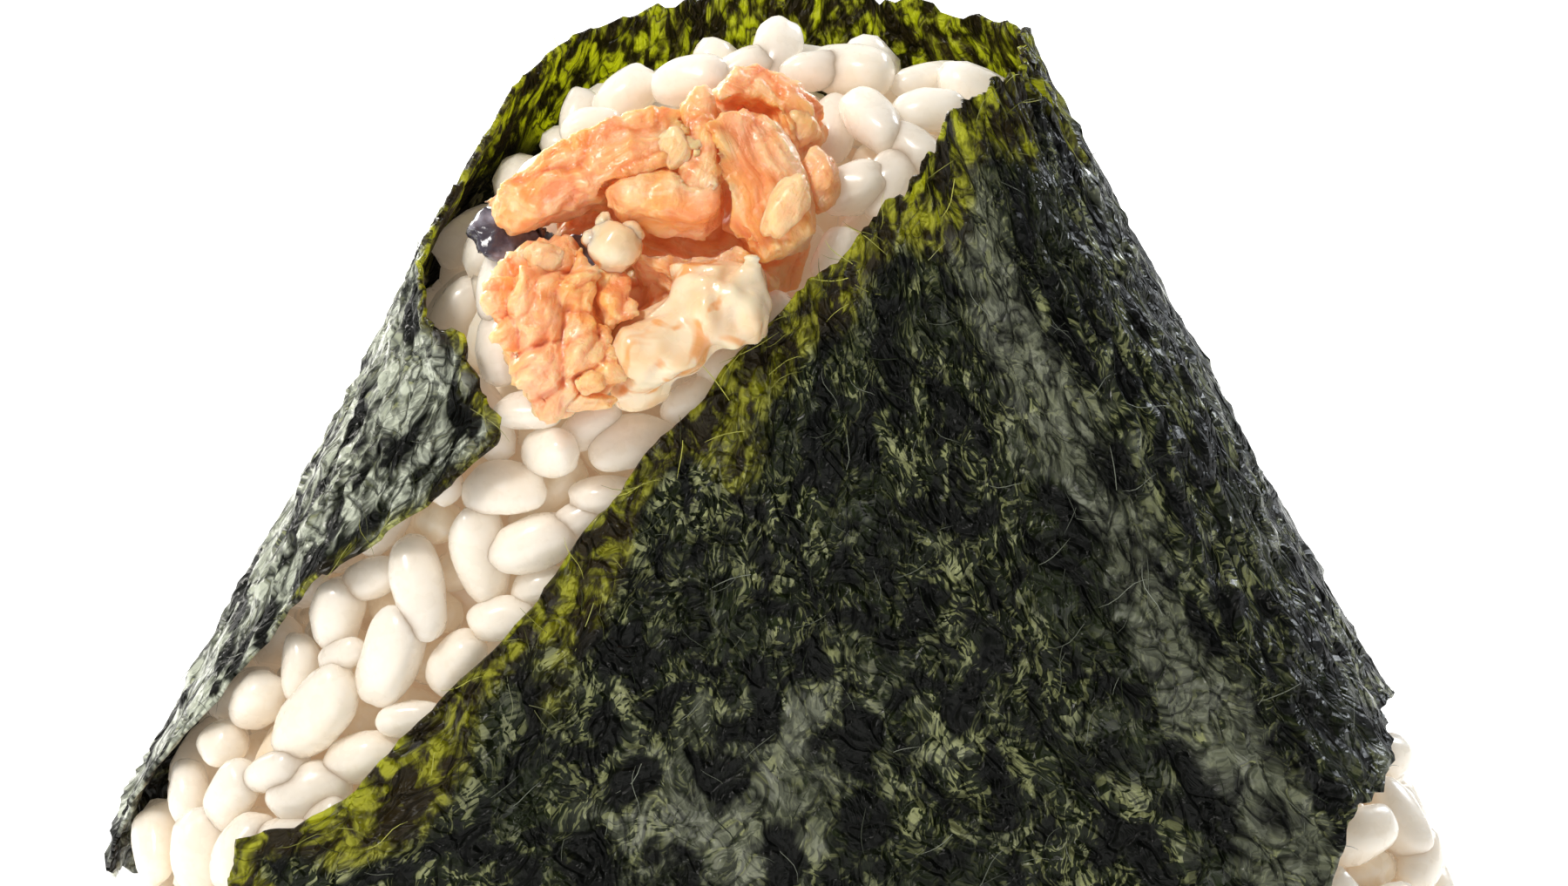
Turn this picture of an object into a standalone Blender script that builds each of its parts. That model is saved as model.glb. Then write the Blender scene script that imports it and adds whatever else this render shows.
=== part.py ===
"""Salmon mayonnaise onigiri: a pressed triangular rice ball wrapped in one nori sheet.

The rice stands on its long side and leans to a blunt top.  The sheet leaves a diagonal
band of rice bare on the front and both lower corners, and its top is left open, so that
the flaked salmon, the strip of skin and the mayonnaise show in a hollow of the rice.

Units are metres, +Z is up and the front faces -Y.  The origin is on the table, under the
middle of the rice ball.  A point of the wrap is given by two numbers: its turn round the
rice, in quarter turns from the middle of the front over the right side (+X), the back
and the left side; and its climb, the height above the table, which runs on below zero
round the lower edge and under the base.
"""

import math
import random

import bmesh
import bpy
from mathutils import Vector, noise

# The rice ball
WIDTH = 0.0896
DEPTH = 0.0340
RICE_TOP = 0.0708
SIDE_LEAN = 0.533           # half width lost for each unit of height
FACE_LEAN = 0.085           # half depth lost for each unit of height
FACE_LEAN_FROM = 0.012
LOWER_CORNER_RADIUS = 0.013
BASE_EDGE_RADIUS = 0.005
SIDE_ROUNDNESS = 0.78       # radius of a level section's corners, as a share of its half depth
RICE_UNEVEN = 0.0007
RICE_INSET = 0.0002         # pressed in below the surface that the sheet is laid on
GRAIN_PATCH = 0.007         # how far apart the dents of the rice are
BARE_CORNER_SWELL = 0.0009  # the lower right corner, which the sheet leaves bare

# The rice ball's crown: the height where it starts to round off, for each side
SHOULDER_FRONT = 0.0500
SHOULDER_BACK = 0.0655
SHOULDER_LEFT = 0.0590
SHOULDER_RIGHT = 0.0650
CROWN_TOP_X = 0.0015
CROWN_TOP_Y = 0.0070
CROWN_FULLNESS = 0.75

# The nori sheet
SHEET_THICKNESS = 0.0005
SHEET_GAP = 0.00045         # clearance between the sheet and the rice
GAP = 0.0003                # clearance between the solids of the filling
SHEET_ALONG = 64
SHEET_UP = 22
FLAP_STAND_OFF = 0.0019     # further room behind the left flap's upper corner
EDGE_STAND_OFF = 0.0007     # further room where the sheet goes round the lower edge

# The sheet's upper and lower edges, as (turn, climb) pairs, from the tip of the front
# flap round to the tip of the left flap
SHEET_FROM, SHEET_TO = -0.672, 3.495
UPPER_EDGE = (
    (-0.68, 0.0212), (-0.56, 0.0260), (-0.40, 0.0371), (-0.29, 0.0455),
    (-0.12, 0.0544), (0.12, 0.0621), (0.36, 0.0695), (0.55, 0.0726),
    (1.00, 0.0728), (1.45, 0.0715), (1.80, 0.0724), (2.10, 0.0725),
    (2.40, 0.0713), (2.63, 0.0697), (2.83, 0.0663), (3.05, 0.0622),
    (3.20, 0.0600), (3.29, 0.0571), (3.40, 0.0556), (3.46, 0.0526), (3.50, 0.0506),
)
LOWER_EDGE = (
    (-0.68, 0.0196), (-0.58, 0.0120), (-0.45, 0.0020), (-0.30, -0.0080),
    (0.00, -0.0130), (0.25, -0.0110), (0.42, -0.0040), (0.53, 0.0050),
    (0.61, 0.0140), (0.69, 0.0215), (0.82, 0.0250), (1.00, 0.0265),
    (1.20, 0.0225), (1.35, 0.0140), (1.48, 0.0040), (1.62, -0.0060),
    (1.80, -0.0110), (2.05, -0.0120), (2.28, -0.0090), (2.46, -0.0010),
    (2.62, 0.0060), (2.78, 0.0100), (2.95, 0.0125), (3.06, 0.0200),
    (3.13, 0.0262), (3.20, 0.0325), (3.26, 0.0380), (3.36, 0.0424),
    (3.44, 0.0462), (3.50, 0.0498),
)

# The filling sits on the front of the crown, in its own frame: x right, y up the slope,
# z out of the rice
SEAT = (-0.0072, -0.0098, 0.0625)
SEAT_TILT = math.radians(48)
HOLLOW_PLACE = (0.0, 0.0038, -0.0023)
HOLLOW_SIZE = (0.0118, 0.0102, 0.0045)
BED_HEIGHT = 0.0031

# Flakes of salmon: place, half sizes, turns in degrees, how pointed the left end is, seed.
# An earlier flake keeps its shape where it meets a later one.
FLAKES = {
    "salmon_strip": ((0.0014, 0.0058, 0.0034), (0.0013, 0.0040, 0.0022), (4, -8, 4), 0.00, 12),
    "salmon_sliver": ((-0.0040, -0.0032, 0.0009), (0.0013, 0.0028, 0.0018), (0, 6, 14), 0.00, 16),
    "salmon_boat": ((-0.0010, 0.0018, 0.0031), (0.0043, 0.0024, 0.0024), (-4, 8, -6), 0.55, 7),
    "salmon_ledge": ((0.0009, -0.0008, 0.0011), (0.0042, 0.0018, 0.0016), (4, 0, -24), 0.20, 14),
    "salmon_long": ((-0.0056, 0.0047, 0.0025), (0.0086, 0.0034, 0.0030), (8, -6, 27), 0.35, 3),
    "salmon_broad": ((0.0060, 0.0037, 0.0030), (0.0036, 0.0056, 0.0026), (12, 6, 18), 0.00, 5),
    "salmon_back": ((0.0066, 0.0102, 0.0017), (0.0044, 0.0034, 0.0030), (-10, 4, -38), 0.10, 8),
    "salmon_crumbly": ((-0.0081, -0.0060, 0.0000), (0.0034, 0.0048, 0.0026), (16, -10, 22), 0.00, 9),
}

SKIN_PLACE = (-0.0096, 0.0010, -0.0010)
SKIN_SIZE = (0.0120, 0.0034)
SKIN_THICKNESS = 0.0007
SKIN_TURNS = (math.radians(6), math.radians(-3), math.radians(-4))

# Lobes of the mayonnaise: place and half sizes
MAYONNAISE = (
    ((0.0028, -0.0044, 0.0008), (0.0036, 0.0032, 0.0028)),
    ((-0.0008, -0.0071, 0.0001), (0.0035, 0.0029, 0.0026)),
    ((-0.0023, -0.0086, -0.0017), (0.0025, 0.0020, 0.0021)),
)
PEAK_PLACE = (0.0050, -0.0024, 0.0032)
PEAK_SIZE = (0.0014, 0.0034)

RICE_COLOUR = (0.86, 0.80, 0.70, 1)
NORI_COLOUR = (0.012, 0.022, 0.010, 1)
SALMON_COLOUR = (0.85, 0.36, 0.15, 1)
MAYONNAISE_COLOUR = (0.90, 0.80, 0.55, 1)
SKIN_COLOUR = (0.10, 0.09, 0.11, 1)


def half_width(height):
    """Half the rice ball's width at a height: a leaning side over a round lower corner."""
    radius = LOWER_CORNER_RADIUS
    lean = math.atan(SIDE_LEAN)
    middle = WIDTH / 2 - radius
    tangent = radius * (1 + math.sin(lean))
    if height > tangent:
        return middle + radius * math.cos(lean) - SIDE_LEAN * (height - tangent)
    return middle + math.sqrt(radius**2 - (radius - max(height, 0)) ** 2)


def half_depth(height):
    """Half the rice ball's depth at a height: a leaning face over a round lower edge."""
    radius = BASE_EDGE_RADIUS
    if height > radius:
        return DEPTH / 2 - FACE_LEAN * max(height - FACE_LEAN_FROM, 0)
    return DEPTH / 2 - radius + math.sqrt(radius**2 - (radius - max(height, 0)) ** 2)


def on_outline(turn, width, depth, corner):
    """Point (x, y) of a rectangle with round corners, turn quarter turns from its front."""
    flat, arc, side = width - corner, corner * math.pi / 2, depth - corner
    quarter = math.floor(turn)
    share = turn - quarter
    along = (share if quarter % 2 == 0 else 1 - share) * (flat + arc + side)
    if along < flat:
        x, y = along, depth
    elif along < flat + arc:
        angle = (along - flat) / corner
        x, y = flat + corner * math.sin(angle), side + corner * math.cos(angle)
    else:
        x, y = width, side - (along - flat - arc)
    return (x if quarter % 4 < 2 else -x), (y if quarter % 4 in (1, 2) else -y)


def wrap_point(turn, climb, lift):
    """Point that lies lift outside the rice ball's side, lower edge or base."""
    radius = BASE_EDGE_RADIUS
    bend = min(max((radius - climb) / radius, 0), math.pi / 2)
    under = max(radius - climb - radius * math.pi / 2, 0)
    height = climb if bend == 0 else radius * (1 - math.sin(bend))
    outward = lift * math.cos(bend) - under
    depth = half_depth(height)
    x, y = on_outline(
        turn, half_width(height) + outward, depth + outward, SIDE_ROUNDNESS * depth + outward
    )
    return Vector((x, y, base_height() + height - lift * math.sin(bend)))


def base_height():
    """The rice stands on the sheet that is folded under it."""
    return SHEET_GAP + SHEET_THICKNESS


def shoulder(angle):
    """Height where the crown starts, at an angle from the front over the right side."""
    ahead, right = math.cos(angle), math.sin(angle)
    front_to_back = SHOULDER_FRONT if ahead > 0 else SHOULDER_BACK
    left_to_right = SHOULDER_RIGHT if right > 0 else SHOULDER_LEFT
    return front_to_back * ahead**2 + left_to_right * right**2


def rice_point(angle, rise):
    """Point of the rice ball: angle round it, and rise from 0 under it to 1 at its top."""
    base_share, side_share = 0.2, 0.66
    turn = angle / (math.pi / 2)
    if rise < base_share:
        rim = wrap_point(turn, BASE_EDGE_RADIUS * (1 - math.pi / 2), -RICE_INSET)
        return Vector((rim.x * rise / base_share, rim.y * rise / base_share, rim.z))
    if rise < side_share:
        share = (rise - base_share) / (side_share - base_share)
        lowest = BASE_EDGE_RADIUS * (1 - math.pi / 2)
        return wrap_point(turn, lowest + share * (shoulder(angle) - lowest), -RICE_INSET)
    lift = (rise - side_share) / (1 - side_share) * math.pi / 2
    climb = shoulder(angle) + (RICE_TOP - shoulder(angle)) * math.sin(lift)
    side = wrap_point(turn, climb, -RICE_INSET)
    spread = math.cos(lift) ** CROWN_FULLNESS
    return Vector((
        side.x * spread + CROWN_TOP_X * (1 - spread),
        side.y * spread + CROWN_TOP_Y * (1 - spread),
        side.z,
    ))


def smooth_line(points, share):
    """Point on a smooth curve through evenly timed points (Catmull-Rom)."""
    place = min(max(share, 0), 1) * (len(points) - 1)
    first = min(int(place), len(points) - 2)
    t = place - first
    before, start = Vector(points[max(first - 1, 0)]), Vector(points[first])
    end, after = Vector(points[first + 1]), Vector(points[min(first + 2, len(points) - 1)])
    return 0.5 * (
        2 * start
        + (end - before) * t
        + (2 * before - 5 * start + 4 * end - after) * t**2
        + (3 * start - before - 3 * end + after) * t**3
    )


def edge_climb(edge, turn):
    """Climb of an edge of the sheet at a turn."""
    low, high = 0.0, 1.0
    for _ in range(30):
        middle = (low + high) / 2
        if smooth_line(edge, middle).x < turn:
            low = middle
        else:
            high = middle
    return smooth_line(edge, low).y


def sheet_place(along, up):
    """(turn, climb) of a point of the sheet, along it and up it from 0 to 1."""
    turn = SHEET_FROM + along * (SHEET_TO - SHEET_FROM)
    bottom, top = edge_climb(LOWER_EDGE, turn), edge_climb(UPPER_EDGE, turn)
    return turn, bottom + up * (top - bottom)


def stand_off(turn, climb):
    """How far the sheet stands off: at the left flap's upper corner and the lower edge."""
    reach = ((turn - 3.25) / 0.22) ** 2 + ((climb - 0.060) / 0.006) ** 2
    bend = min(max(1 - climb / BASE_EDGE_RADIUS, 0), math.pi / 2)
    return SHEET_GAP + FLAP_STAND_OFF * math.exp(-reach) + EDGE_STAND_OFF * math.sin(2 * bend)


def clear_scene():
    for old in list(bpy.data.objects):
        bpy.data.objects.remove(old)


def new_collection(name):
    made = bpy.data.collections.new(name)
    bpy.context.scene.collection.children.link(made)
    return made


def new_material(name, colour, roughness):
    made = bpy.data.materials.new(name)
    made.use_nodes = True
    shader = made.node_tree.nodes["Principled BSDF"]
    shader.inputs["Base Color"].default_value = colour
    shader.inputs["Roughness"].default_value = roughness
    shader.inputs["Metallic"].default_value = 0
    return made


def new_object(name, bm, collection, finish=None):
    """Makes a smooth-shaded object from a bmesh, which it frees."""
    mesh = bpy.data.meshes.new(name)
    bm.to_mesh(mesh)
    bm.free()
    mesh.shade_smooth()
    if finish:
        mesh.materials.append(finish)
    made = bpy.data.objects.new(name, mesh)
    collection.objects.link(made)
    return made


def as_cutter(piece):
    piece.hide_render = True
    piece.display_type = "WIRE"
    return piece


def seated(piece, seat, place, turns=(0, 0, 0)):
    """Places a piece in the frame of the filling."""
    piece.parent = seat
    piece.location = place
    piece.rotation_euler = turns
    return piece


def cut(piece, cutter, name, operation="DIFFERENCE"):
    modifier = piece.modifiers.new(name, "BOOLEAN")
    modifier.operation = operation
    modifier.solver = "EXACT"
    modifier.object = cutter


def room_for(piece, cutters):
    """A cutter that is a piece as it stands now, grown by a little more than the gap."""
    bpy.context.view_layer.update()
    graph = bpy.context.evaluated_depsgraph_get()
    mesh = bpy.data.meshes.new_from_object(piece.evaluated_get(graph))
    bm = bmesh.new()
    bm.from_mesh(mesh)
    bpy.data.meshes.remove(mesh)
    bm.normal_update()
    for vertex in bm.verts:
        vertex.co += vertex.normal * GAP * 1.3
    room = as_cutter(new_object(f"room_for_{piece.name}", bm, cutters))
    room.matrix_world = piece.matrix_world
    return room


def boxes_meet(piece, room):
    """Whether the two objects' boxes overlap, so that a cut can matter."""
    bpy.context.view_layer.update()
    boxes = [[other.matrix_world @ Vector(corner) for corner in other.bound_box]
             for other in (piece, room)]
    return all(
        min(p[axis] for p in boxes[0]) < max(p[axis] for p in boxes[1])
        and min(p[axis] for p in boxes[1]) < max(p[axis] for p in boxes[0])
        for axis in range(3)
    )


def keep_clear(piece, rooms):
    """Cuts a piece back from its neighbours' rooms."""
    for room in rooms:
        if boxes_meet(piece, room):
            cut(piece, room, f"clear_of_{room.name}")


def ellipsoid(name, half_sizes, rings, collection, finish=None, upper=None):
    """A ball scaled to its half sizes; upper, if given, is the height of its upper half."""
    bm = bmesh.new()
    bmesh.ops.create_uvsphere(bm, u_segments=2 * rings, v_segments=rings, radius=1)
    for vertex in bm.verts:
        up = upper if upper and vertex.co.z > 0 else half_sizes[2]
        vertex.co = Vector((
            vertex.co.x * half_sizes[0], vertex.co.y * half_sizes[1], vertex.co.z * up
        ))
    return new_object(name, bm, collection, finish)


def make_rice(model, finish):
    """The pressed rice: a ball turned into the onigiri's shape, with an uneven surface."""
    bm = bmesh.new()
    bmesh.ops.create_uvsphere(bm, u_segments=44, v_segments=26, radius=1)
    for vertex in bm.verts:
        angle = math.atan2(vertex.co.x, -vertex.co.y)
        rise = 0.5 + math.asin(max(-1, min(1, vertex.co.z))) / math.pi
        vertex.co = rice_point(angle, rise)
        middle = (vertex.co.z - LOWER_CORNER_RADIUS) / 0.008
        reach = max(math.sin(angle), 0) ** 8 * math.exp(-middle * middle)
        vertex.co.x += BARE_CORNER_SWELL * reach
    bm.normal_update()
    dents = {
        vertex: RICE_UNEVEN * (0.5 + 0.5 * noise.noise(vertex.co / GRAIN_PATCH))
        for vertex in bm.verts
        if vertex.co.z > BASE_EDGE_RADIUS
    }
    for vertex, dent in dents.items():
        vertex.co -= vertex.normal * dent
    return new_object("rice", bm, model, finish)


def make_nori(model, finish):
    """The sheet: a grid laid round the rice, thickened outwards."""
    bm = bmesh.new()
    bmesh.ops.create_grid(bm, x_segments=SHEET_ALONG, y_segments=SHEET_UP, size=0.5)
    for vertex in bm.verts:
        turn, climb = sheet_place(vertex.co.x + 0.5, vertex.co.y + 0.5)
        vertex.co = wrap_point(turn, climb, stand_off(turn, climb))
        vertex.co.z = max(vertex.co.z, SHEET_THICKNESS)
    sheet = new_object("nori_sheet", bm, model, finish)
    thickness = sheet.modifiers.new("thickness", "SOLIDIFY")
    thickness.thickness = SHEET_THICKNESS
    thickness.offset = 1
    return sheet


def make_flake(name, place, half_sizes, turns, point, seed, model, seat, finish):
    """One flake of cooked salmon: a soft block with uneven corners, one end pointed."""
    draw = random.Random(seed)
    bm = bmesh.new()
    bmesh.ops.create_cube(bm, size=2)
    bmesh.ops.subdivide_edges(bm, edges=bm.edges[:], cuts=1, use_grid_fill=True)
    for vertex in bm.verts:
        narrow = 1 - point * max(-vertex.co.x, 0)
        uneven = Vector([draw.uniform(-0.24, 0.24) for _ in range(3)])
        shape = Vector((vertex.co.x, vertex.co.y * narrow, vertex.co.z * narrow)) + uneven
        vertex.co = Vector([1.08 * a * b for a, b in zip(shape, half_sizes)])
    sharp = bm.edges.layers.float.new("crease_edge")
    for edge in bm.edges:
        edge[sharp] = draw.choice((0.0, 0.25, 0.6))
    flake = new_object(name, bm, model, finish)
    soft = flake.modifiers.new("soft", "SUBSURF")
    soft.levels = 1
    soft.render_levels = 1
    return seated(flake, seat, place, [math.radians(turn) for turn in turns])


def make_skin(model, cutters, seat, finish):
    """The strip of salmon skin, a narrow wavy sheet with some thickness, and its room."""
    bm = bmesh.new()
    bmesh.ops.create_grid(bm, x_segments=14, y_segments=4, size=0.5)
    for vertex in bm.verts:
        x, y = vertex.co.x, vertex.co.y
        narrow = 1 - 0.5 * abs(2 * x) ** 3
        wave = 0.00035 * math.sin(9 * x + 4 * y) + 0.0002 * math.sin(21 * x - 3 * y)
        vertex.co = Vector((x * SKIN_SIZE[0], y * SKIN_SIZE[1] * narrow, wave))
    skin = new_object("salmon_skin", bm, model, finish)
    thickness = skin.modifiers.new("thickness", "SOLIDIFY")
    thickness.thickness = SKIN_THICKNESS
    thickness.offset = 0
    bm = bmesh.new()
    bmesh.ops.create_cube(bm, size=1)
    room_size = (SKIN_SIZE[0] + 2 * GAP, SKIN_SIZE[1] + 2 * GAP, 2.6 * SKIN_THICKNESS + 2 * GAP)
    bmesh.ops.scale(bm, verts=bm.verts, vec=room_size)
    room = as_cutter(new_object("room_for_skin", bm, cutters))
    return seated(skin, seat, SKIN_PLACE, SKIN_TURNS), seated(room, seat, SKIN_PLACE, SKIN_TURNS)


def make_mayonnaise(model, cutters, seat, finish):
    """The mayonnaise, rounded lobes run together with a pulled peak, and its rooms."""
    lobes = [
        seated(ellipsoid(f"mayonnaise_lobe_{number}", size, 8, cutters), seat, place)
        for number, (place, size) in enumerate(MAYONNAISE, start=1)
    ]
    bm = bmesh.new()
    bmesh.ops.create_cone(
        bm, cap_ends=True, segments=10, radius1=PEAK_SIZE[0], radius2=0.0003,
        depth=PEAK_SIZE[1],
    )
    peak = new_object("mayonnaise_peak", bm, cutters)
    lobes.append(seated(peak, seat, PEAK_PLACE, (math.radians(-35), 0, 0)))
    dollop = bpy.data.objects.new("mayonnaise", lobes[0].data.copy())
    dollop.data.materials.append(finish)
    model.objects.link(dollop)
    seated(dollop, seat, MAYONNAISE[0][0])
    for lobe in lobes[1:]:
        cut(dollop, as_cutter(lobe), lobe.name, "UNION")
    as_cutter(lobes[0])
    return dollop, [room_for(lobe, cutters) for lobe in lobes]


def make_filling(model, cutters, rice):
    """Hollows the rice and fills it: the bed, the skin, the flakes and the mayonnaise."""
    seat = bpy.data.objects.new("filling_seat", None)
    seat.location = SEAT
    seat.rotation_euler = (SEAT_TILT, 0, 0)
    model.objects.link(seat)
    hollow = as_cutter(ellipsoid("hollow", HOLLOW_SIZE, 12, cutters, upper=0.03))
    seated(hollow, seat, HOLLOW_PLACE)
    cut(rice, hollow, "hollow")

    salmon = new_material("salmon", SALMON_COLOUR, 0.45)
    dollop, rooms = make_mayonnaise(
        model, cutters, seat, new_material("mayonnaise", MAYONNAISE_COLOUR, 0.25)
    )
    for name, shape in FLAKES.items():
        flake = make_flake(name, *shape, model, seat, salmon)
        room = room_for(flake, cutters)
        keep_clear(flake, rooms)
        rooms.append(room)
    skin_finish = new_material("skin", SKIN_COLOUR, 0.35)
    skin, room = make_skin(model, cutters, seat, skin_finish)
    keep_clear(skin, rooms)
    rooms.append(room)
    bed_size = [side - GAP * 1.2 for side in HOLLOW_SIZE]
    bed = ellipsoid("salmon_bed", bed_size, 11, model, salmon, upper=BED_HEIGHT)
    seated(bed, seat, HOLLOW_PLACE)
    keep_clear(bed, rooms)
    keep_clear(rice, rooms)


def main():
    clear_scene()
    model = new_collection("onigiri")
    cutters = new_collection("cutters")
    rice = make_rice(model, new_material("rice", RICE_COLOUR, 0.4))
    make_nori(model, new_material("nori", NORI_COLOUR, 0.55))
    make_filling(model, cutters, rice)


main()
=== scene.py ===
"""Looks of the onigiri: grains of rice, a toasted nori sheet, flaked salmon and mayonnaise.

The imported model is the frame: the grains are laid on its rice, and the pieces of the
filling are grown from its solids.  The sheet is laid round the same form as in the model,
by its turn round the rice and its climb up it.  Units are metres.
"""

from __future__ import annotations

import itertools
import logging
import math
from collections.abc import Callable
from dataclasses import dataclass, field
from enum import Enum

import bmesh
import bpy
import numpy as np
from mathutils import Matrix, Vector
from mathutils.bvhtree import BVHTree
from mathutils.kdtree import KDTree


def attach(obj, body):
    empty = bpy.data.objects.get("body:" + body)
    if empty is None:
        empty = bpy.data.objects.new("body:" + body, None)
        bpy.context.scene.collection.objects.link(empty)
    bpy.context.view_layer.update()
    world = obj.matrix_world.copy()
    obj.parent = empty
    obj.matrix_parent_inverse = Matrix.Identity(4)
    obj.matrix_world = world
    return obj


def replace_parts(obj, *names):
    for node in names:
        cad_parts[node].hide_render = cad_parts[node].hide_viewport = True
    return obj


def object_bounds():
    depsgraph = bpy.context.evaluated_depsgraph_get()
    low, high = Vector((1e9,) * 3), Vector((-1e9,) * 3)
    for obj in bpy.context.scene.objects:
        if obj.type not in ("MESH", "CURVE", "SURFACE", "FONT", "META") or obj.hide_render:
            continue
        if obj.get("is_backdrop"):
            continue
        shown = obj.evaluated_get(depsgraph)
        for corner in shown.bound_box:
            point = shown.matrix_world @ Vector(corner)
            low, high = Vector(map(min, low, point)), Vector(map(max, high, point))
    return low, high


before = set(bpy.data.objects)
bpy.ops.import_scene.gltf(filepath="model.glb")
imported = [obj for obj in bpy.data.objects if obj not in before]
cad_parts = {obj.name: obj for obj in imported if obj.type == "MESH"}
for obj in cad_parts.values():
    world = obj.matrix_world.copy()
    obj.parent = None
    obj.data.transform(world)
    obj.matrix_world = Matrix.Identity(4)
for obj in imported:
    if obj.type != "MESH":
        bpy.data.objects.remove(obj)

log = logging.getLogger("onigiri")
MM = 0.001
MERGE = 1e-6

# The line of sight looks down on the front by this angle.  The known grains and the filling
# are laid across and up, square to it.
SIGHT = math.radians(18)
ACROSS = np.array([1.0, 0.0, 0.0])
UP = np.array([0.0, math.sin(SIGHT), math.cos(SIGHT)])
AWAY = np.array([0.0, math.cos(SIGHT), -math.sin(SIGHT)])


class Slot(Enum):
    """Material slots of the record."""

    RICE = "rice"
    NORI = "nori"
    SALMON = "salmon"
    SKIN = "skin"
    MAYONNAISE = "mayonnaise"


# ---------------------------------------------------------------- noise and meshes


def rise(value: np.ndarray, start: float, length: float) -> np.ndarray:
    """0 up to start, 1 past the length after it."""
    return np.clip((value - start) / length, 0, 1)


def fall(value: np.ndarray, end: float, length: float) -> np.ndarray:
    """1 up to the length before end, 0 past it."""
    return np.clip((end - value) / length, 0, 1)


class Noise:
    """Smooth gradient noise and jittered cells, the same on every run."""

    def __init__(self, seed: int) -> None:
        """Shuffles the lattice.

        Args:
            seed: number that picks the pattern.
        """
        draw = np.random.default_rng(seed)
        self.order = draw.permutation(256)
        slopes = draw.normal(size=(256, 3))
        self.slopes = slopes / np.linalg.norm(slopes, axis=1, keepdims=True)
        self.jitter = draw.uniform(0.1, 0.9, (256, 3))

    def _pick(self, cell: np.ndarray) -> np.ndarray:
        """Hash of each lattice cell, from 0 to 255."""
        order, cell = self.order, cell & 255
        return order[(order[(order[cell[:, 0]] + cell[:, 1]) & 255] + cell[:, 2]) & 255]

    def at(self, points: np.ndarray, size: float) -> np.ndarray:
        """Gradient noise from about -1 to 1.

        Args:
            points: N by 3 places.
            size: distance between lattice points.

        Returns:
            One value for each place.
        """
        points = points / size
        cell = np.floor(points).astype(int)
        part = points - cell
        ease = part**3 * (part * (part * 6 - 15) + 10)
        total = np.zeros(len(points))
        for corner in itertools.product((0, 1), repeat=3):
            step = np.array(corner)
            slope = self.slopes[self._pick(cell + step)]
            share = np.where(step, ease, 1 - ease).prod(axis=1)
            total += share * ((part - step) * slope).sum(axis=1)
        return total * 1.7

    def rough(self, points: np.ndarray, size: float, octaves: int = 3) -> np.ndarray:
        """Noise with finer noise on it, each octave at half the size and strength."""
        return sum(self.at(points + 7.3 * k * size, size / 2**k) / 2**k for k in range(octaves))

    def ridges(self, points: np.ndarray, size: float) -> np.ndarray:
        """Sharp ridges from 0 to 1, where the noise crosses zero."""
        return np.clip(1 - 2.2 * np.abs(self.at(points, size)), 0, 1) ** 2

    def drift(self, points: np.ndarray, size: float, first: int) -> np.ndarray:
        """Noise in three directions, N by 3, from the pattern of that number on."""
        return np.stack([self.at(points + k, size) for k in range(first, first + 3)], -1)

    def cells(self, points: np.ndarray, size: float) -> tuple[np.ndarray, np.ndarray]:
        """Distances to the nearest and the second nearest seed of jittered cells.

        Args:
            points: N by 3 places.
            size: width of a cell.

        Returns:
            Both distances, in cell widths.
        """
        points = points / size
        cell = np.floor(points).astype(int)
        near = np.full(len(points), 9.0)
        second = near.copy()
        for offset in itertools.product((-1, 0, 1), repeat=3):
            there = cell + np.array(offset)
            gap = np.linalg.norm(there + self.jitter[self._pick(there)] - points, axis=1)
            second = np.minimum(second, np.maximum(near, gap))
            near = np.minimum(near, gap)
        return near, second


def linked(name: str, data: bpy.types.ID) -> bpy.types.Object:
    """Makes an object of a mesh, light or camera and links it to the scene.

    Args:
        name: name of the object.
        data: its mesh, light or camera.

    Returns:
        The object, at the origin.
    """
    made = bpy.data.objects.new(name, data)
    bpy.context.scene.collection.objects.link(made)
    return made


def new_object(name: str, points: np.ndarray, faces: list,
               finish: bpy.types.Material | None = None) -> bpy.types.Object:
    """Makes a smooth-shaded mesh object at the origin.

    Args:
        name: name of the object and its mesh.
        points: N by 3 places of the vertices.
        faces: tuples of vertex numbers.
        finish: material, if there is one yet.

    Returns:
        The object, linked to the scene.
    """
    mesh = bpy.data.meshes.new(name)
    mesh.from_pydata([tuple(p) for p in np.asarray(points, float)], [], faces)
    mesh.shade_smooth()
    if finish:
        mesh.materials.append(finish)
    return linked(name, mesh)


def put_attribute(piece: bpy.types.Object, name: str, values: np.ndarray) -> None:
    """Stores one number, or one vector, for each vertex of a piece.

    Args:
        piece: the piece.
        name: name of the attribute.
        values: N numbers, or N by 3.
    """
    kind, key = ("FLOAT", "value") if values.ndim == 1 else ("FLOAT_VECTOR", "vector")
    made = piece.data.attributes.new(name, kind, "POINT")
    made.data.foreach_set(key, values.astype(np.float32).ravel())


def places_of(piece: bpy.types.Object) -> np.ndarray:
    """Places of a piece's vertices.

    Args:
        piece: the piece.

    Returns:
        N by 3 places.
    """
    flat = np.empty(len(piece.data.vertices) * 3, np.float32)
    piece.data.vertices.foreach_get("co", flat)
    return flat.reshape(-1, 3).astype(float)


def normals_of(piece: bpy.types.Object) -> np.ndarray:
    """Normals of a piece's vertices.

    Args:
        piece: the piece.

    Returns:
        N by 3 normals.
    """
    flat = np.empty(len(piece.data.vertices) * 3, np.float32)
    piece.data.vertex_normals.foreach_get("vector", flat)
    return flat.reshape(-1, 3).astype(float)


def put_places(piece: bpy.types.Object, points: np.ndarray) -> None:
    """Moves a piece's vertices."""
    piece.data.vertices.foreach_set("co", points.astype(np.float32).ravel())
    piece.data.update()


def made_plain(piece: bpy.types.Object) -> bpy.types.Object:
    """Turns a piece's modifiers into its plain mesh.

    Args:
        piece: the piece, whose modifiers go.

    Returns:
        The same piece.
    """
    bpy.context.view_layer.update()
    graph = bpy.context.evaluated_depsgraph_get()
    mesh = bpy.data.meshes.new_from_object(piece.evaluated_get(graph), depsgraph=graph)
    piece.modifiers.clear()
    piece.data = mesh
    mesh.shade_smooth()
    return piece


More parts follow.
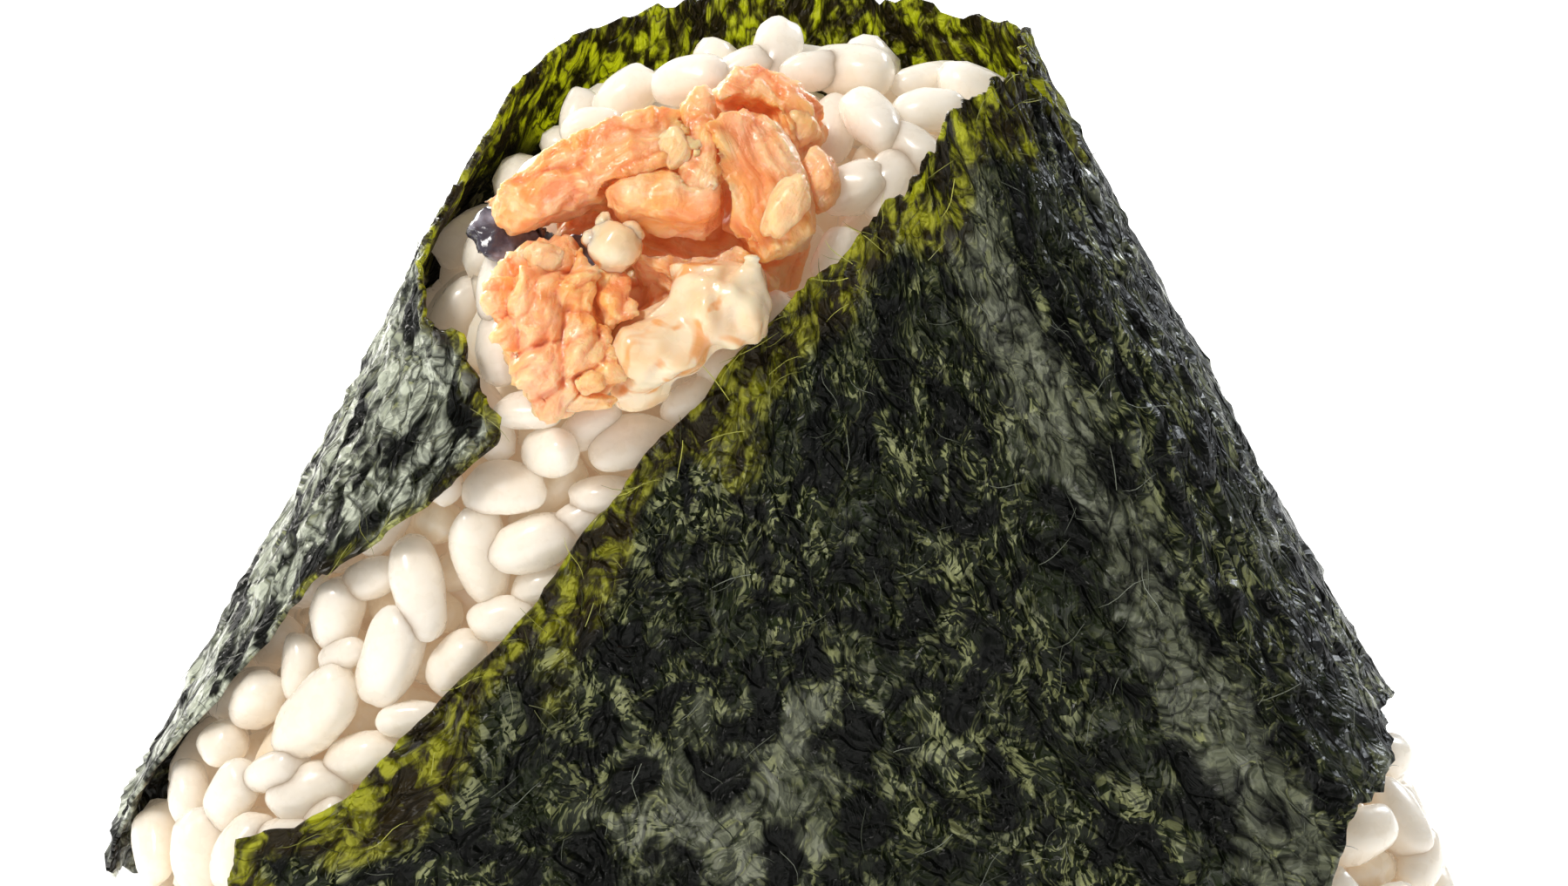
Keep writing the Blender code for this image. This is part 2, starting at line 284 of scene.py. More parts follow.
def merged(node: str) -> bmesh.types.BMesh:
    """Copies one of the model's solids and joins its loose triangles.

    Args:
        node: name of the solid.

    Returns:
        The joined mesh, to be freed after use.
    """
    bm = bmesh.new()
    bm.from_mesh(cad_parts[node].data)
    bmesh.ops.remove_doubles(bm, verts=bm.verts, dist=MERGE)
    return bm


def tree_of(piece: bpy.types.Object) -> BVHTree:
    """A search tree of a piece's faces."""
    faces = [tuple(p.vertices) for p in piece.data.polygons]
    return BVHTree.FromPolygons(places_of(piece).tolist(), faces)


def grown_from(name: str, node: str, voxel: float) -> bpy.types.Object:
    """Makes one even mesh round a copy of a solid of the model.

    Args:
        name: name of the new piece.
        node: name of the model's solid.
        voxel: size of the new mesh's cells.

    Returns:
        The remeshed piece, without a material.
    """
    bm = merged(node)
    mesh = bpy.data.meshes.new(name)
    bm.to_mesh(mesh)
    bm.free()
    piece = linked(name, mesh)
    remesh = piece.modifiers.new("even", "REMESH")
    remesh.mode = "VOXEL"
    remesh.voxel_size = voxel
    return made_plain(piece)


# ---------------------------------------------------------------- node trees


class Value:
    """An output socket whose arithmetic adds Math nodes."""

    def __init__(self, graph: "Graph", socket: bpy.types.NodeSocket) -> None:
        """Wraps a socket of a graph."""
        self.graph, self.socket = graph, socket

    def _math(self, operation: str, *values: "Value | float") -> "Value":
        """Adds a Math node with these values."""
        return self.graph.node("ShaderNodeMath", {"operation": operation}, dict(enumerate(values)))[0]

    def __add__(self, other: "Value | float") -> "Value":
        """Sum."""
        return self._math("ADD", self, other)

    def __radd__(self, other: float) -> "Value":
        """Sum, reflected."""
        return self._math("ADD", other, self)

    def __sub__(self, other: "Value | float") -> "Value":
        """Difference."""
        return self._math("SUBTRACT", self, other)

    def __rsub__(self, other: float) -> "Value":
        """Difference, reflected."""
        return self._math("SUBTRACT", other, self)

    def __mul__(self, other: "Value | float") -> "Value":
        """Product."""
        return self._math("MULTIPLY", self, other)

    def __rmul__(self, other: float) -> "Value":
        """Product, reflected."""
        return self._math("MULTIPLY", other, self)

    def most(self, other: "Value | float") -> "Value":
        """The larger of two."""
        return self._math("MAXIMUM", self, other)

    def size(self) -> "Value":
        """Without its sign."""
        return self._math("ABSOLUTE", self)

    def between(self, start: float, end: float) -> "Value":
        """Eases from 0 to 1.

        Args:
            start: value up to which the result is 0.
            end: value from which it is 1.

        Returns:
            The eased value.
        """
        settings = {"interpolation_type": "SMOOTHSTEP"}
        sockets = {"Value": self, "From Min": start, "From Max": end}
        return self.graph.node("ShaderNodeMapRange", settings, sockets)["Result"]


class Placed:
    """A node in a graph, whose outputs are read by name or number."""

    def __init__(self, graph: "Graph", made: bpy.types.Node) -> None:
        """Wraps a node of a graph."""
        self.graph, self.made = graph, made

    def __getitem__(self, key: str | int) -> Value:
        """An output socket."""
        return Value(self.graph, Graph.pick(self.made.outputs, key))


class Graph:
    """Adds nodes to a tree: a node's settings first, then its sockets."""

    def __init__(self, tree: bpy.types.NodeTree) -> None:
        """Wraps a node tree."""
        self.tree = tree

    @staticmethod
    def pick(sockets: bpy.types.bpy_prop_collection, key: str | int) -> bpy.types.NodeSocket:
        """Finds a socket.

        Args:
            sockets: a node's inputs or outputs.
            key: its name, or its number.

        Returns:
            The live socket of that name, or the one of that number.
        """
        if isinstance(key, int):
            return sockets[key]
        return next(s for s in sockets if s.enabled and key in (s.name, s.identifier))

    def node(self, kind: str, settings: dict | None = None, sockets: dict | None = None) -> Placed:
        """Adds a node.

        Args:
            kind: the node's type.
            settings: its properties, such as a Math node's operation.
            sockets: its inputs by name or number, as values or links.

        Returns:
            The placed node.
        """
        made = self.tree.nodes.new(kind)
        for name, value in (settings or {}).items():
            setattr(made, name, value)
        for key, value in (sockets or {}).items():
            socket = self.pick(made.inputs, key)
            if isinstance(value, Value):
                self.tree.links.new(value.socket, socket)
            elif isinstance(value, tuple) and socket.type == "RGBA" and len(value) == 3:
                socket.default_value = (*value, 1)
            else:
                socket.default_value = value
        return Placed(self, made)


class Shader(Graph):
    """A material's tree, with the few patterns that the finishes share."""

    def __init__(self, name: str) -> None:
        """Starts an empty material.

        Args:
            name: name of the material.
        """
        self.material = bpy.data.materials.new(name)
        self.material.use_nodes = True
        super().__init__(self.material.node_tree)
        self.tree.nodes.clear()
        self.place = self.node("ShaderNodeTexCoord")["Object"]

    def noise(self, scale: float, vector: Value | None = None, detail: float = 2.0,
              distortion: float = 0.0) -> Value:
        """Noise from 0 to 1.

        Args:
            scale: patches to the metre.
            vector: where it is read, or none for places on the object.
            detail: number of finer layers.
            distortion: how far it is bent.

        Returns:
            The noise.
        """
        sockets = {
            "Vector": vector or self.place, "Scale": scale, "Detail": detail,
            "Distortion": distortion,
        }
        return self.node("ShaderNodeTexNoise", None, sockets)["Fac"]

    def attribute(self, name: str) -> Value:
        """A number stored on the mesh."""
        return self.node("ShaderNodeAttribute", {"attribute_name": name})["Fac"]

    def mix(self, factor: Value, first: Value | tuple, second: Value | tuple) -> Value:
        """Mixes two colours.

        Args:
            factor: 0 for the first and 1 for the second, clamped.
            first: a colour.
            second: the other colour.

        Returns:
            The mixed colour.
        """
        settings = {"data_type": "RGBA", "clamp_factor": True}
        sockets = {"Factor": factor, "A": first, "B": second}
        return self.node("ShaderNodeMix", settings, sockets)["Result"]

    def vector(self, operation: str, *values: Value | tuple) -> Value:
        """Adds a Vector Math node with these values."""
        settings = {"operation": operation}
        return self.node("ShaderNodeVectorMath", settings, dict(enumerate(values)))["Vector"]

    def part(self, colour: Value, name: str) -> Value:
        """The Red, Green or Blue of a colour."""
        return self.node("ShaderNodeSeparateColor", None, {"Color": colour})[name]

    def bump(self, height: Value, distance: float, strength: float) -> Value:
        """Normal tilted by a height pattern.

        Args:
            height: the pattern, from about 0 to 1.
            distance: height of 1, in metres.
            strength: how much of it shows.

        Returns:
            The normal.
        """
        sockets = {"Height": height, "Distance": distance, "Strength": strength}
        return self.node("ShaderNodeBump", None, sockets)["Normal"]

    def body(self, sockets: dict) -> Value:
        """A Principled surface with these sockets."""
        return self.node("ShaderNodeBsdfPrincipled", None, sockets)["BSDF"]

    def finish(self, surface: Value) -> bpy.types.Material:
        """Closes the tree on a surface."""
        self.node("ShaderNodeOutputMaterial", None, {"Surface": surface})
        return self.material


class Scatter(Graph):
    """A Geometry Nodes tree that instances shapes on a piece's points and realises them."""

    def __init__(self, name: str) -> None:
        """Starts a tree with a geometry input and output.

        Args:
            name: name of the tree.
        """
        super().__init__(bpy.data.node_groups.new(name, "GeometryNodeTree"))
        self.sockets: dict[str, str] = {}
        for way in ("INPUT", "OUTPUT"):
            self.tree.interface.new_socket("Geometry", in_out=way, socket_type="NodeSocketGeometry")

    def entry(self, kinds: dict[str, str]) -> Placed:
        """Adds the named inputs and the node that gives them.

        Args:
            kinds: type of each input by its name, such as Float.

        Returns:
            The group's input node.
        """
        for name, kind in kinds.items():
            made = self.tree.interface.new_socket(name, in_out="INPUT", socket_type=f"NodeSocket{kind}")
            self.sockets[name] = made.identifier
        return self.node("NodeGroupInput")

    def random(self, low: float | tuple, high: float | tuple, seed: int) -> Value:
        """A random number, or a random vector, for each point or instance.

        Args:
            low: the least, a number or a vector.
            high: the most.
            seed: fixed seed.

        Returns:
            The random value.
        """
        kind = "FLOAT_VECTOR" if isinstance(low, tuple) else "FLOAT"
        sockets = {"Min": low, "Max": high, "Seed": seed}
        return self.node("FunctionNodeRandomValue", {"data_type": kind}, sockets)["Value"]

    def stored(self, name: str, kind: str) -> Value:
        """An attribute of the points, such as a FLOAT."""
        settings, sockets = {"data_type": kind}, {"Name": name}
        return self.node("GeometryNodeInputNamedAttribute", settings, sockets)["Attribute"]

    def shapes(self, collection: Value) -> Value:
        """The objects of a collection as instances, one each."""
        sockets = {"Collection": collection, "Separate Children": True, "Reset Children": True}
        return self.node("GeometryNodeCollectionInfo", None, sockets)["Instances"]

    def close(self, geometry: Value, finish: bpy.types.Material) -> None:
        """Ends the tree in Realize Instances and Set Material.

        Args:
            geometry: the instances.
            finish: their material.
        """
        real = self.node("GeometryNodeRealizeInstances", None, {"Geometry": geometry})["Geometry"]
        sockets = {"Geometry": real, "Material": finish}
        dressed = self.node("GeometryNodeSetMaterial", None, sockets)["Geometry"]
        self.node("NodeGroupOutput", None, {"Geometry": dressed})

    def run(self, piece: bpy.types.Object, inputs: dict) -> bpy.types.Object:
        """Runs the tree on a piece and leaves a plain mesh.

        Args:
            piece: the object that carries the points.
            inputs: values of the named inputs.

        Returns:
            The same object with its new mesh.
        """
        modifier = piece.modifiers.new("scatter", "NODES")
        modifier.node_group = self.tree
        for name, value in inputs.items():
            modifier[self.sockets[name]] = value
        return made_plain(piece)


# ---------------------------------------------------------------- finishes


@dataclass(frozen=True)
class RiceFinish:
    """Moist cooked rice: white and glossy, with random warmer tones, painted warm shade on the sunk
    grains and the pressed mass between them, and a painted glow.
    """

    white: tuple = (0.84, 0.775, 0.675)
    warm_tone_and_shade: tuple = (0.86, 0.70, 0.50)
    bright: tuple = (0.93, 0.90, 0.84)
    # Painted glow: a faint warm emission that lifts the shade inside the rice.
    painted_glow: tuple = (1.0, 0.80, 0.60)
    depth: float = 0.0045

    def make(self, name: str, deep: float) -> bpy.types.Material:
        """Builds the material.

        Args:
            name: name of the material.
            deep: 0 for whole grains, 1 for the pressed mass between them, which gets the full painted
                warm shade.

        Returns:
            The material.
        """
        s = Shader(name)
        tone = s.attribute("tone")
        patch = s.noise(150, detail=3)
        cloud = s.noise(900, detail=2)
        # Warm tint: random tone, plus painted warm shade on the sunk grains and the pressed mass that
        # fill the gaps.
        factor = deep + tone * (1 - deep) + (patch - 0.5) * 0.5
        colour = s.mix(factor, self.white, self.warm_tone_and_shade)
        colour = s.mix((cloud - 0.45) * 0.9, colour, self.bright)
        normal = s.bump(s.noise(1500, detail=2), 0.00006, 0.4)
        body = s.body({
            "Base Color": colour,
            "Roughness": 0.20 + cloud * 0.16,
            "Subsurface Weight": 0.9,
            "Subsurface Radius": (0.84, 0.91, 1.0),
            "Subsurface Scale": self.depth,
            "Coat Weight": 0.35,
            "Coat Roughness": 0.12,
            "IOR": 1.42,
            # Painted glow, not a lamp: the emission stands in for light scattered inside the rice.
            "Emission Color": self.painted_glow,
            "Emission Strength": 0.085,
            "Normal": normal,
        })
        return s.finish(body)


@dataclass(frozen=True)
class NoriFinish:
    """Toasted nori: nearly black green with matted fibres; painted glints and painted sheen where it
    faces the lights, olive painted backlight where light comes through.
    """

    black: tuple = (0.0012, 0.0018, 0.0008)
    green: tuple = (0.013, 0.019, 0.005)
    # strand: lighter fibres, and also the colour of the painted glints.
    strand: tuple = (0.250, 0.265, 0.110)
    # Painted sheen: grey-green reflection on the left flap, and on the band down the front.
    sheen: tuple = (0.560, 0.600, 0.480)
    painted_band_sheen: tuple = (0.170, 0.182, 0.118)
    # Painted backlight: olive, gold and brown stand in for light coming through the sheet.
    olive: tuple = (0.130, 0.125, 0.012)
    gold: tuple = (0.640, 0.640, 0.100)
    brown: tuple = (0.018, 0.012, 0.003)
    glow: tuple = (0.78, 0.82, 0.06)
    most_turn: float = 3.6

    def scraps(self, s: Shader, vector: Value, cell: float, squeeze: float) -> Value:
        """Coordinates that turn from one scrap of weed to the next, squeezed along each.

        Args:
            s: the shader.
            vector: flat coordinates of the sheet.
            cell: scraps to the metre.
            squeeze: how much shorter a pattern's length becomes in these coordinates.

        Returns:
            The turned coordinates.
        """
        bend = s.node("ShaderNodeTexNoise", None, {"Vector": vector, "Scale": cell * 0.7})["Color"]
        bent = s.vector("MULTIPLY_ADD", bend, (1.3 / cell,) * 3, vector)
        scrap = s.node("ShaderNodeTexVoronoi", None, {"Vector": bent, "Scale": cell})["Color"]
        sockets = {"Vector": bent, "Angle": s.part(scrap, "Red") * self.most_turn}
        turned = s.node("ShaderNodeVectorRotate", {"rotation_type": "Z_AXIS"}, sockets)["Vector"]
        return s.vector("MULTIPLY", turned, (1.0, squeeze, 1.0))

    def make(self, name: str) -> bpy.types.Material:
        """Builds the sheet's material.

        Args:
            name: name of the material.

        Returns:
            The material.
        """
        s = Shader(name)
        flat = s.node("ShaderNodeUVMap", {"uv_map": "sheet"})["UV"]
        thin_and_backlit, sheen = s.attribute("thin_and_backlit"), s.attribute("sheen")
        large, small = self.scraps(s, flat, 210, 0.30), self.scraps(s, flat, 460, 0.14)
        facets = s.node("ShaderNodeTexVoronoi", None, {"Vector": large, "Scale": 1150})
        facet, shape = s.part(facets["Color"], "Green"), facets["Distance"]
        strands = s.noise(3000, small, detail=1.2, distortion=0.5)
        patch = s.noise(85, flat, detail=4)
        clump = s.noise(260, flat, detail=3, distortion=0.8)
        mottle = s.noise(420, flat, detail=3, distortion=1.2)
        fold = (s.noise(240, flat, detail=1.5, distortion=1.8) - 0.5).size()
        crease = fold.between(0.0, 0.045)
        weed = clump.between(0.40, 0.56) * (facet * 0.7 + 0.3)
        thread = strands.between(0.56, 0.60) * clump.between(0.42, 0.54)
        # Painted glints: bright facets where the fibres catch the lights.
        glint = facet.between(0.62, 0.86) * clump.between(0.46, 0.58) * strands.between(0.42, 0.50)
        colour = s.mix(weed, self.black, self.green)
        colour = s.mix(thread * (patch.between(0.36, 0.60) * 0.6 + 0.08), colour, self.strand)
        colour = s.mix(glint * patch.between(0.38, 0.54), colour, self.strand)
        # Painted sheen where the sheet faces the lights, brightest on the left flap (silver), broken by
        # dark crease lines of painted shade.
        silver = sheen.between(0.70, 0.80)
        lit = sheen - silver * 0.30 + (clump - 0.5) * (1.5 + silver * 1.6) + (patch - 0.5) * 0.9
        lit = lit.between(0.30, 0.70)
        lit = lit * (strands.between(0.34, 0.50) * 0.5 + 0.5) * (facet * 0.5 + 0.5) * (
            crease * 0.9 + 0.1)
        colour = s.mix(lit, colour, s.mix(silver, self.painted_band_sheen, self.sheen))
        # Painted backlight where the sheet is thin or stands free: olive and gold mottling, brown along
        # crease lines of painted shade.
        shown = (thin_and_backlit + (patch - 0.5) * 1.1 * thin_and_backlit.between(0.0, 0.3)).between(0.14, 0.60)
        veined = mottle * 0.6 + clump * 0.3 + strands * 0.1
        painted_backlight = s.mix(veined.between(0.45, 0.53), self.brown, self.olive)
        painted_backlight = s.mix(veined.between(0.51, 0.58) * strands.between(0.38, 0.50), painted_backlight, self.gold)
        painted_backlight = s.mix((1 - crease) * 0.8, painted_backlight, self.brown)
        colour = s.mix(shown, colour, painted_backlight)
        height = shape * 0.55 + strands * 0.28 + mottle * 0.30 + clump * 0.55
        height = height + fold.between(0.0, 0.09) * 0.75
        normal = s.bump(height, 0.00085, 1.0)
        body = s.body({
            "Base Color": colour,
            "Roughness": 0.26 + (1 - weed) * 0.16,
            "Specular IOR Level": 0.16,
            "Coat Weight": lit * 0.7 + glint * 0.6,
            "Coat Roughness": 0.17,
            "Normal": normal,
        })
        through = s.node("ShaderNodeBsdfTranslucent", None, {
            "Color": self.glow, "Normal": normal})["BSDF"]
        clear = shown * (veined.between(0.47, 0.58) * crease * 0.66 + 0.02)
        surface = s.node("ShaderNodeMixShader", None, {
            0: clear + 0.01, 1: body, 2: through})["Shader"]
        return s.finish(surface)

    def make_fibres(self, name: str) -> bpy.types.Material:
        """Builds the material of the loose fibres, with painted sheen and painted backlight.

        Args:
            name: name of the material.

        Returns:
            The material.
        """
        s = Shader(name)
        tone, thin_and_backlit, sheen = s.attribute("tone"), s.attribute("thin_and_backlit"), s.attribute("sheen")
        # Random tone, brighter where the painted sheen is, and gold painted backlight where light comes
        # through.
        colour = s.mix((tone - 0.45) * (0.55 + sheen * 0.8), self.green, self.sheen)
        colour = s.mix(thin_and_backlit.between(0.1, 0.6) * tone, colour, self.gold)
        body = s.body({
            "Base Color": colour, "Roughness": 0.32 + s.noise(900) * 0.2, "Specular IOR Level": 0.25,
        })
        return s.finish(body)


@dataclass(frozen=True)
class SalmonFinish:
    """Cooked salmon: orange to pink, with pale strands, painted highlights on the tops of its lumps,
    painted shade in the cracks and a painted glow.
    """

    orange: tuple = (0.92, 0.41, 0.12)
    pink: tuple = (0.91, 0.42, 0.22)
    # pale: paler strands and patches, and the painted highlight on lump tops.
    pale: tuple = (0.97, 0.71, 0.42)
    # deep: painted shade in the cracks, and random deep blotches.
    deep: tuple = (0.72, 0.19, 0.045)
    # Painted glow that turns the salmon's shade deep orange.
    painted_glow: tuple = (1.0, 0.34, 0.11)

    def make(self, name: str) -> bpy.types.Material:
        """Builds the material.

        Args:
            name: name of the material.

        Returns:
            The material.
        """
        s = Shader(name)
        crease, ridge = s.attribute("crease"), s.attribute("ridge")
        patch = s.noise(210, detail=3)
        colour = s.mix(patch.between(0.38, 0.66), self.orange, self.pink)
        along = s.node("ShaderNodeAttribute", {"attribute_name": "along"})["Vector"]
        strand = s.noise(1700, along, detail=2, distortion=0.4)
        colour = s.mix(strand.between(0.5, 0.66) * 0.45, colour, self.pale)
        # Paler on the tops of the lumps: a painted highlight; the noise adds random pale patches.
        colour = s.mix(ridge * 1.1 + (s.noise(420, detail=2) - 0.5) * 1.1, colour, self.pale)
        blush = s.noise(560, detail=3, distortion=0.6).between(0.50, 0.72)
        # Painted shade in the cracks between lumps, with random deep blotches.
        colour = s.mix((crease * 0.85).most(blush * 0.30), colour, self.deep)
        height = strand * 0.9 + s.noise(1400, detail=3) * 0.8 - blush * 0.5
        body = s.body({
            "Base Color": colour,
            "Roughness": 0.34 + s.noise(700) * 0.25,
            "Subsurface Weight": 0.75,
            "Subsurface Radius": (1.0, 0.46, 0.22),
            "Subsurface Scale": 0.0018,
            # Painted glow, not a lamp.
            "Emission Color": self.painted_glow,
            "Emission Strength": 0.06,
            "Coat Weight": 0.22,
            "Coat Roughness": 0.20,
            "Normal": s.bump(height, 0.00026, 0.9),
        })
        return s.finish(body)


@dataclass(frozen=True)
class MayonnaiseFinish:
    """Glossy cream sauce, tinted orange where it has run over the salmon."""

    cream: tuple = (0.88, 0.60, 0.34)
    white: tuple = (0.92, 0.77, 0.55)
    stain: tuple = (0.84, 0.42, 0.16)

    def make(self, name: str) -> bpy.types.Material:
        """Builds the material.

        Args:
            name: name of the material.

        Returns:
            The material.
        """
        s = Shader(name)
        colour = s.mix(s.noise(260, detail=2).between(0.35, 0.65), self.cream, self.white)
        colour = s.mix(s.noise(330, detail=2, distortion=1.0).between(0.55, 0.68), colour, self.stain)
        body = s.body({
            "Base Color": colour,
            "Roughness": 0.20 + s.noise(800) * 0.14,
            "Subsurface Weight": 0.5,
            "Subsurface Radius": (1.0, 0.72, 0.42),
            "Subsurface Scale": 0.0014,
            "Coat Weight": 0.3,
            "Coat Roughness": 0.08,
            "Normal": s.bump(s.noise(700, detail=2), 0.0001, 0.5),
        })
        return s.finish(body)


@dataclass(frozen=True)
class SkinFinish:
    """Salmon skin: dark slate with violet and silver patches."""

    dark: tuple = (0.060, 0.052, 0.070)
    silver: tuple = (0.36, 0.34, 0.41)

    def make(self, name: str) -> bpy.types.Material:
        """Builds the material.

        Args:
            name: name of the material.

        Returns:
            The material.
        """
        s = Shader(name)
        patch = s.noise(420, detail=4).between(0.42, 0.68)
        colour = s.mix(patch, self.dark, self.silver)
        body = s.body({
            "Base Color": colour,
            "Roughness": 0.24 + patch * 0.2,
            "Coat Weight": 0.3,
            "Coat Roughness": 0.15,
            "Normal": s.bump(s.noise(1300, detail=3), 0.00018, 0.8),
        })
        return s.finish(body)


@dataclass(frozen=True)
class FloorFinish:
    """Plain white studio floor."""

    white: tuple = (0.95, 0.95, 0.95)

    def make(self, name: str) -> bpy.types.Material:
        """Builds the material.

        Args:
            name: name of the material.

        Returns:
            The material.
        """
        s = Shader(name)
        body = s.body({
            "Base Color": self.white, "Roughness": 0.9,
            "Emission Color": (1.0, 1.0, 1.0), "Emission Strength": 0.42,
        })
        return s.finish(body)


# ---------------------------------------------------------------- the rice ball's form


@dataclass(frozen=True)
class WrapForm:
    """The form that the sheet is laid round, as in the model."""

    width: float = 0.0896
    depth: float = 0.0340
    side_lean: float = 0.533
    face_lean: float = 0.085
    face_lean_from: float = 0.012
    lower_corner_radius: float = 0.013
    base_edge_radius: float = 0.005
    side_roundness: float = 0.78
    base_height: float = 0.00095

    def half_width(self, height: np.ndarray) -> np.ndarray:
        """Half the width at a height.

        Args:
            height: N heights above the base.

        Returns:
            N half widths.
        """
        radius, lean = self.lower_corner_radius, math.atan(self.side_lean)
        middle, tangent = self.width / 2 - radius, radius * (1 + math.sin(lean))
        height = np.maximum(height, 0)
        low = middle + np.sqrt(np.clip(radius**2 - (radius - height) ** 2, 0, None))
        high = middle + radius * math.cos(lean) - self.side_lean * (height - tangent)
        return np.where(height > tangent, high, low)

    def half_depth(self, height: np.ndarray) -> np.ndarray:
        """Half the depth at a height.

        Args:
            height: N heights above the base.

        Returns:
            N half depths.
        """
        radius = self.base_edge_radius
        height = np.maximum(height, 0)
        round_edge = np.sqrt(np.clip(radius**2 - (radius - height) ** 2, 0, None))
        low = self.depth / 2 - radius + round_edge
        high = self.depth / 2 - self.face_lean * np.maximum(height - self.face_lean_from, 0)
        return np.where(height > radius, high, low)

    def points(self, turn: np.ndarray, climb: np.ndarray, lift: np.ndarray) -> np.ndarray:
        """Places on the form.

        Args:
            turn: quarter turns from the middle of the front, over the right side.
            climb: height, which runs on below zero round the lower edge and under the base.
            lift: distance outside the form.

        Returns:
            N by 3 places.
        """
        radius = self.base_edge_radius
        bend = np.clip((radius - climb) / radius, 0, math.pi / 2)
        under = np.clip(radius - climb - radius * math.pi / 2, 0, None)
        height = np.where(bend == 0, climb, radius * (1 - np.sin(bend)))
        outward = lift * np.cos(bend) - under
        depth = self.half_depth(height)
        corner = self.side_roundness * depth + outward
        width, depth = self.half_width(height) + outward, depth + outward
        flat, side = width - corner, depth - corner
        quarter = np.floor(turn).astype(int)
        share = turn - quarter
        along = np.where(quarter % 2 == 0, share, 1 - share) * (flat + corner * math.pi / 2 + side)
        angle = np.clip((along - flat) / corner, 0, math.pi / 2)
        x = np.minimum(along, flat) + corner * np.sin(angle)
        y = side - np.clip(along - flat - corner * math.pi / 2, 0, None) + corner * np.cos(angle)
        x = np.where(quarter % 4 < 2, x, -x)
        y = np.where((quarter % 4 == 1) | (quarter % 4 == 2), y, -y)
        return np.stack([x, y, self.base_height + height - lift * np.sin(bend)], axis=-1)


# ---------------------------------------------------------------- nori


@dataclass
class NoriSheet:
    """The sheet of nori, laid round the form between its two ragged edges."""

    form: WrapForm
    finish: NoriFinish
    ends: float = 3.495
    turn_length: float = 0.061
    thickness: float = 0.00026
    gap: float = 0.00050
    rows: int = 124
    wrinkle: float = 0.00024
    side_wrinkle: float = 0.00014
    cross_wrinkle: float = 0.00026
    swell: float = 0.00034
    ripple: float = 0.00022
    fine: float = 0.00013
    crease: float = 0.00042
    curl: float = 0.0007
    strand_kinds: int = 6
    strand_density: float = 190000.0
    strand_length: float = 0.0034
    strand_girth: float = 0.0085
    columns: tuple[tuple[float, float, int], ...] = (
        (-0.672, 1.06, 216), (1.06, 2.70, 70), (2.70, 3.495, 96))
    upper: tuple[tuple[float, float], ...] = (
        (-0.68, 0.0212), (-0.56, 0.0260), (-0.40, 0.0371), (-0.29, 0.0455),
        (-0.12, 0.0544), (0.12, 0.0621), (0.36, 0.0695), (0.55, 0.0726),
        (1.00, 0.0728), (1.45, 0.0715), (1.80, 0.0724), (2.10, 0.0725),
        (2.40, 0.0713), (2.63, 0.0697), (2.83, 0.0663), (3.05, 0.0622),
        (3.20, 0.0600), (3.29, 0.0571), (3.40, 0.0556), (3.46, 0.0526), (3.50, 0.0506))
    lower: tuple[tuple[float, float], ...] = (
        (-0.68, 0.0196), (-0.58, 0.0120), (-0.45, 0.0020), (-0.30, -0.0080),
        (0.00, -0.0130), (0.25, -0.0110), (0.42, -0.0040), (0.53, 0.0050),
        (0.61, 0.0140), (0.69, 0.0215), (0.82, 0.0250), (1.00, 0.0265),
        (1.20, 0.0225), (1.35, 0.0140), (1.48, 0.0040), (1.62, -0.0060),
        (1.80, -0.0110), (2.05, -0.0120), (2.28, -0.0090), (2.46, -0.0010),
        (2.62, 0.0060), (2.78, 0.0100), (2.95, 0.0125), (3.06, 0.0200),
        (3.13, 0.0262), (3.20, 0.0325), (3.26, 0.0380), (3.36, 0.0424),
        (3.44, 0.0462), (3.50, 0.0498))
    noise: Noise = field(default_factory=lambda: Noise(11))

    @staticmethod
    def smooth(edge: tuple, turn: np.ndarray) -> np.ndarray:
        """Climb of an edge, on a smooth curve through its points.

        Args:
            edge: (turn, climb) of the edge's points.
            turn: N turns.

        Returns:
            N climbs.
        """
        knots = np.array(edge)
        knots = np.concatenate([knots[:1], knots, knots[-1:]])
        t = np.linspace(0, 1, 24, endpoint=False)[None, :, None]
        a, b, c, d = (knots[k:len(knots) - 3 + k, None] for k in range(4))
        line = 0.5 * (2 * b + (c - a) * t + (2 * a - 5 * b + 4 * c - d) * t**2
                      + (3 * b - a - 3 * c + d) * t**3)
        line = line.reshape(-1, 2)
        order = np.argsort(line[:, 0])
        return np.interp(turn, line[order, 0], line[order, 1])

    def flat(self, turn: np.ndarray, climb: np.ndarray) -> np.ndarray:
        """Flat coordinates of the sheet, N by 3, for patterns that lie in it."""
        return np.stack([turn * self.turn_length, climb, np.zeros_like(turn)], axis=-1)

    def torn(self, turn: np.ndarray, side: float) -> np.ndarray:
        """How far an edge strays from its smooth line.

        Args:
            turn: N turns.
            side: a number that makes each edge different.

        Returns:
            N distances up.
        """
        line = self.flat(turn, np.full_like(turn, side))
        nicks = self.noise.ridges(line + 3.1, 0.0045) * 0.0009
        return 0.0005 * self.noise.rough(line, 0.0036, 4) - nicks * 0.6

    def grid(self) -> tuple[np.ndarray, np.ndarray]:
        """The sheet's grid, with torn edges.

        Returns:
            Turns and climbs, columns by rows.
        """
        spans = [np.linspace(a, b, n, endpoint=False) for a, b, n in self.columns]
        turns = np.append(np.concatenate(spans), self.ends)
        low = self.smooth(self.lower, turns) + self.torn(turns, 0.2)
        high = self.smooth(self.upper, turns) + self.torn(turns, 0.7)
        share = np.linspace(0, 1, self.rows)
        climb = low[:, None] + share * (np.maximum(high, low + 0.0004) - low)[:, None]
        turn = np.repeat(turns[:, None], self.rows, axis=1)
        ends = rise(turn, 3.02, 0.2) - fall(turn, -0.35, 0.2)
        stray = self.noise.rough(self.flat(np.full(turn.size, 0.4), climb.ravel()), 0.004, 4)
        return turn + 0.012 * ends * stray.reshape(turn.shape), climb

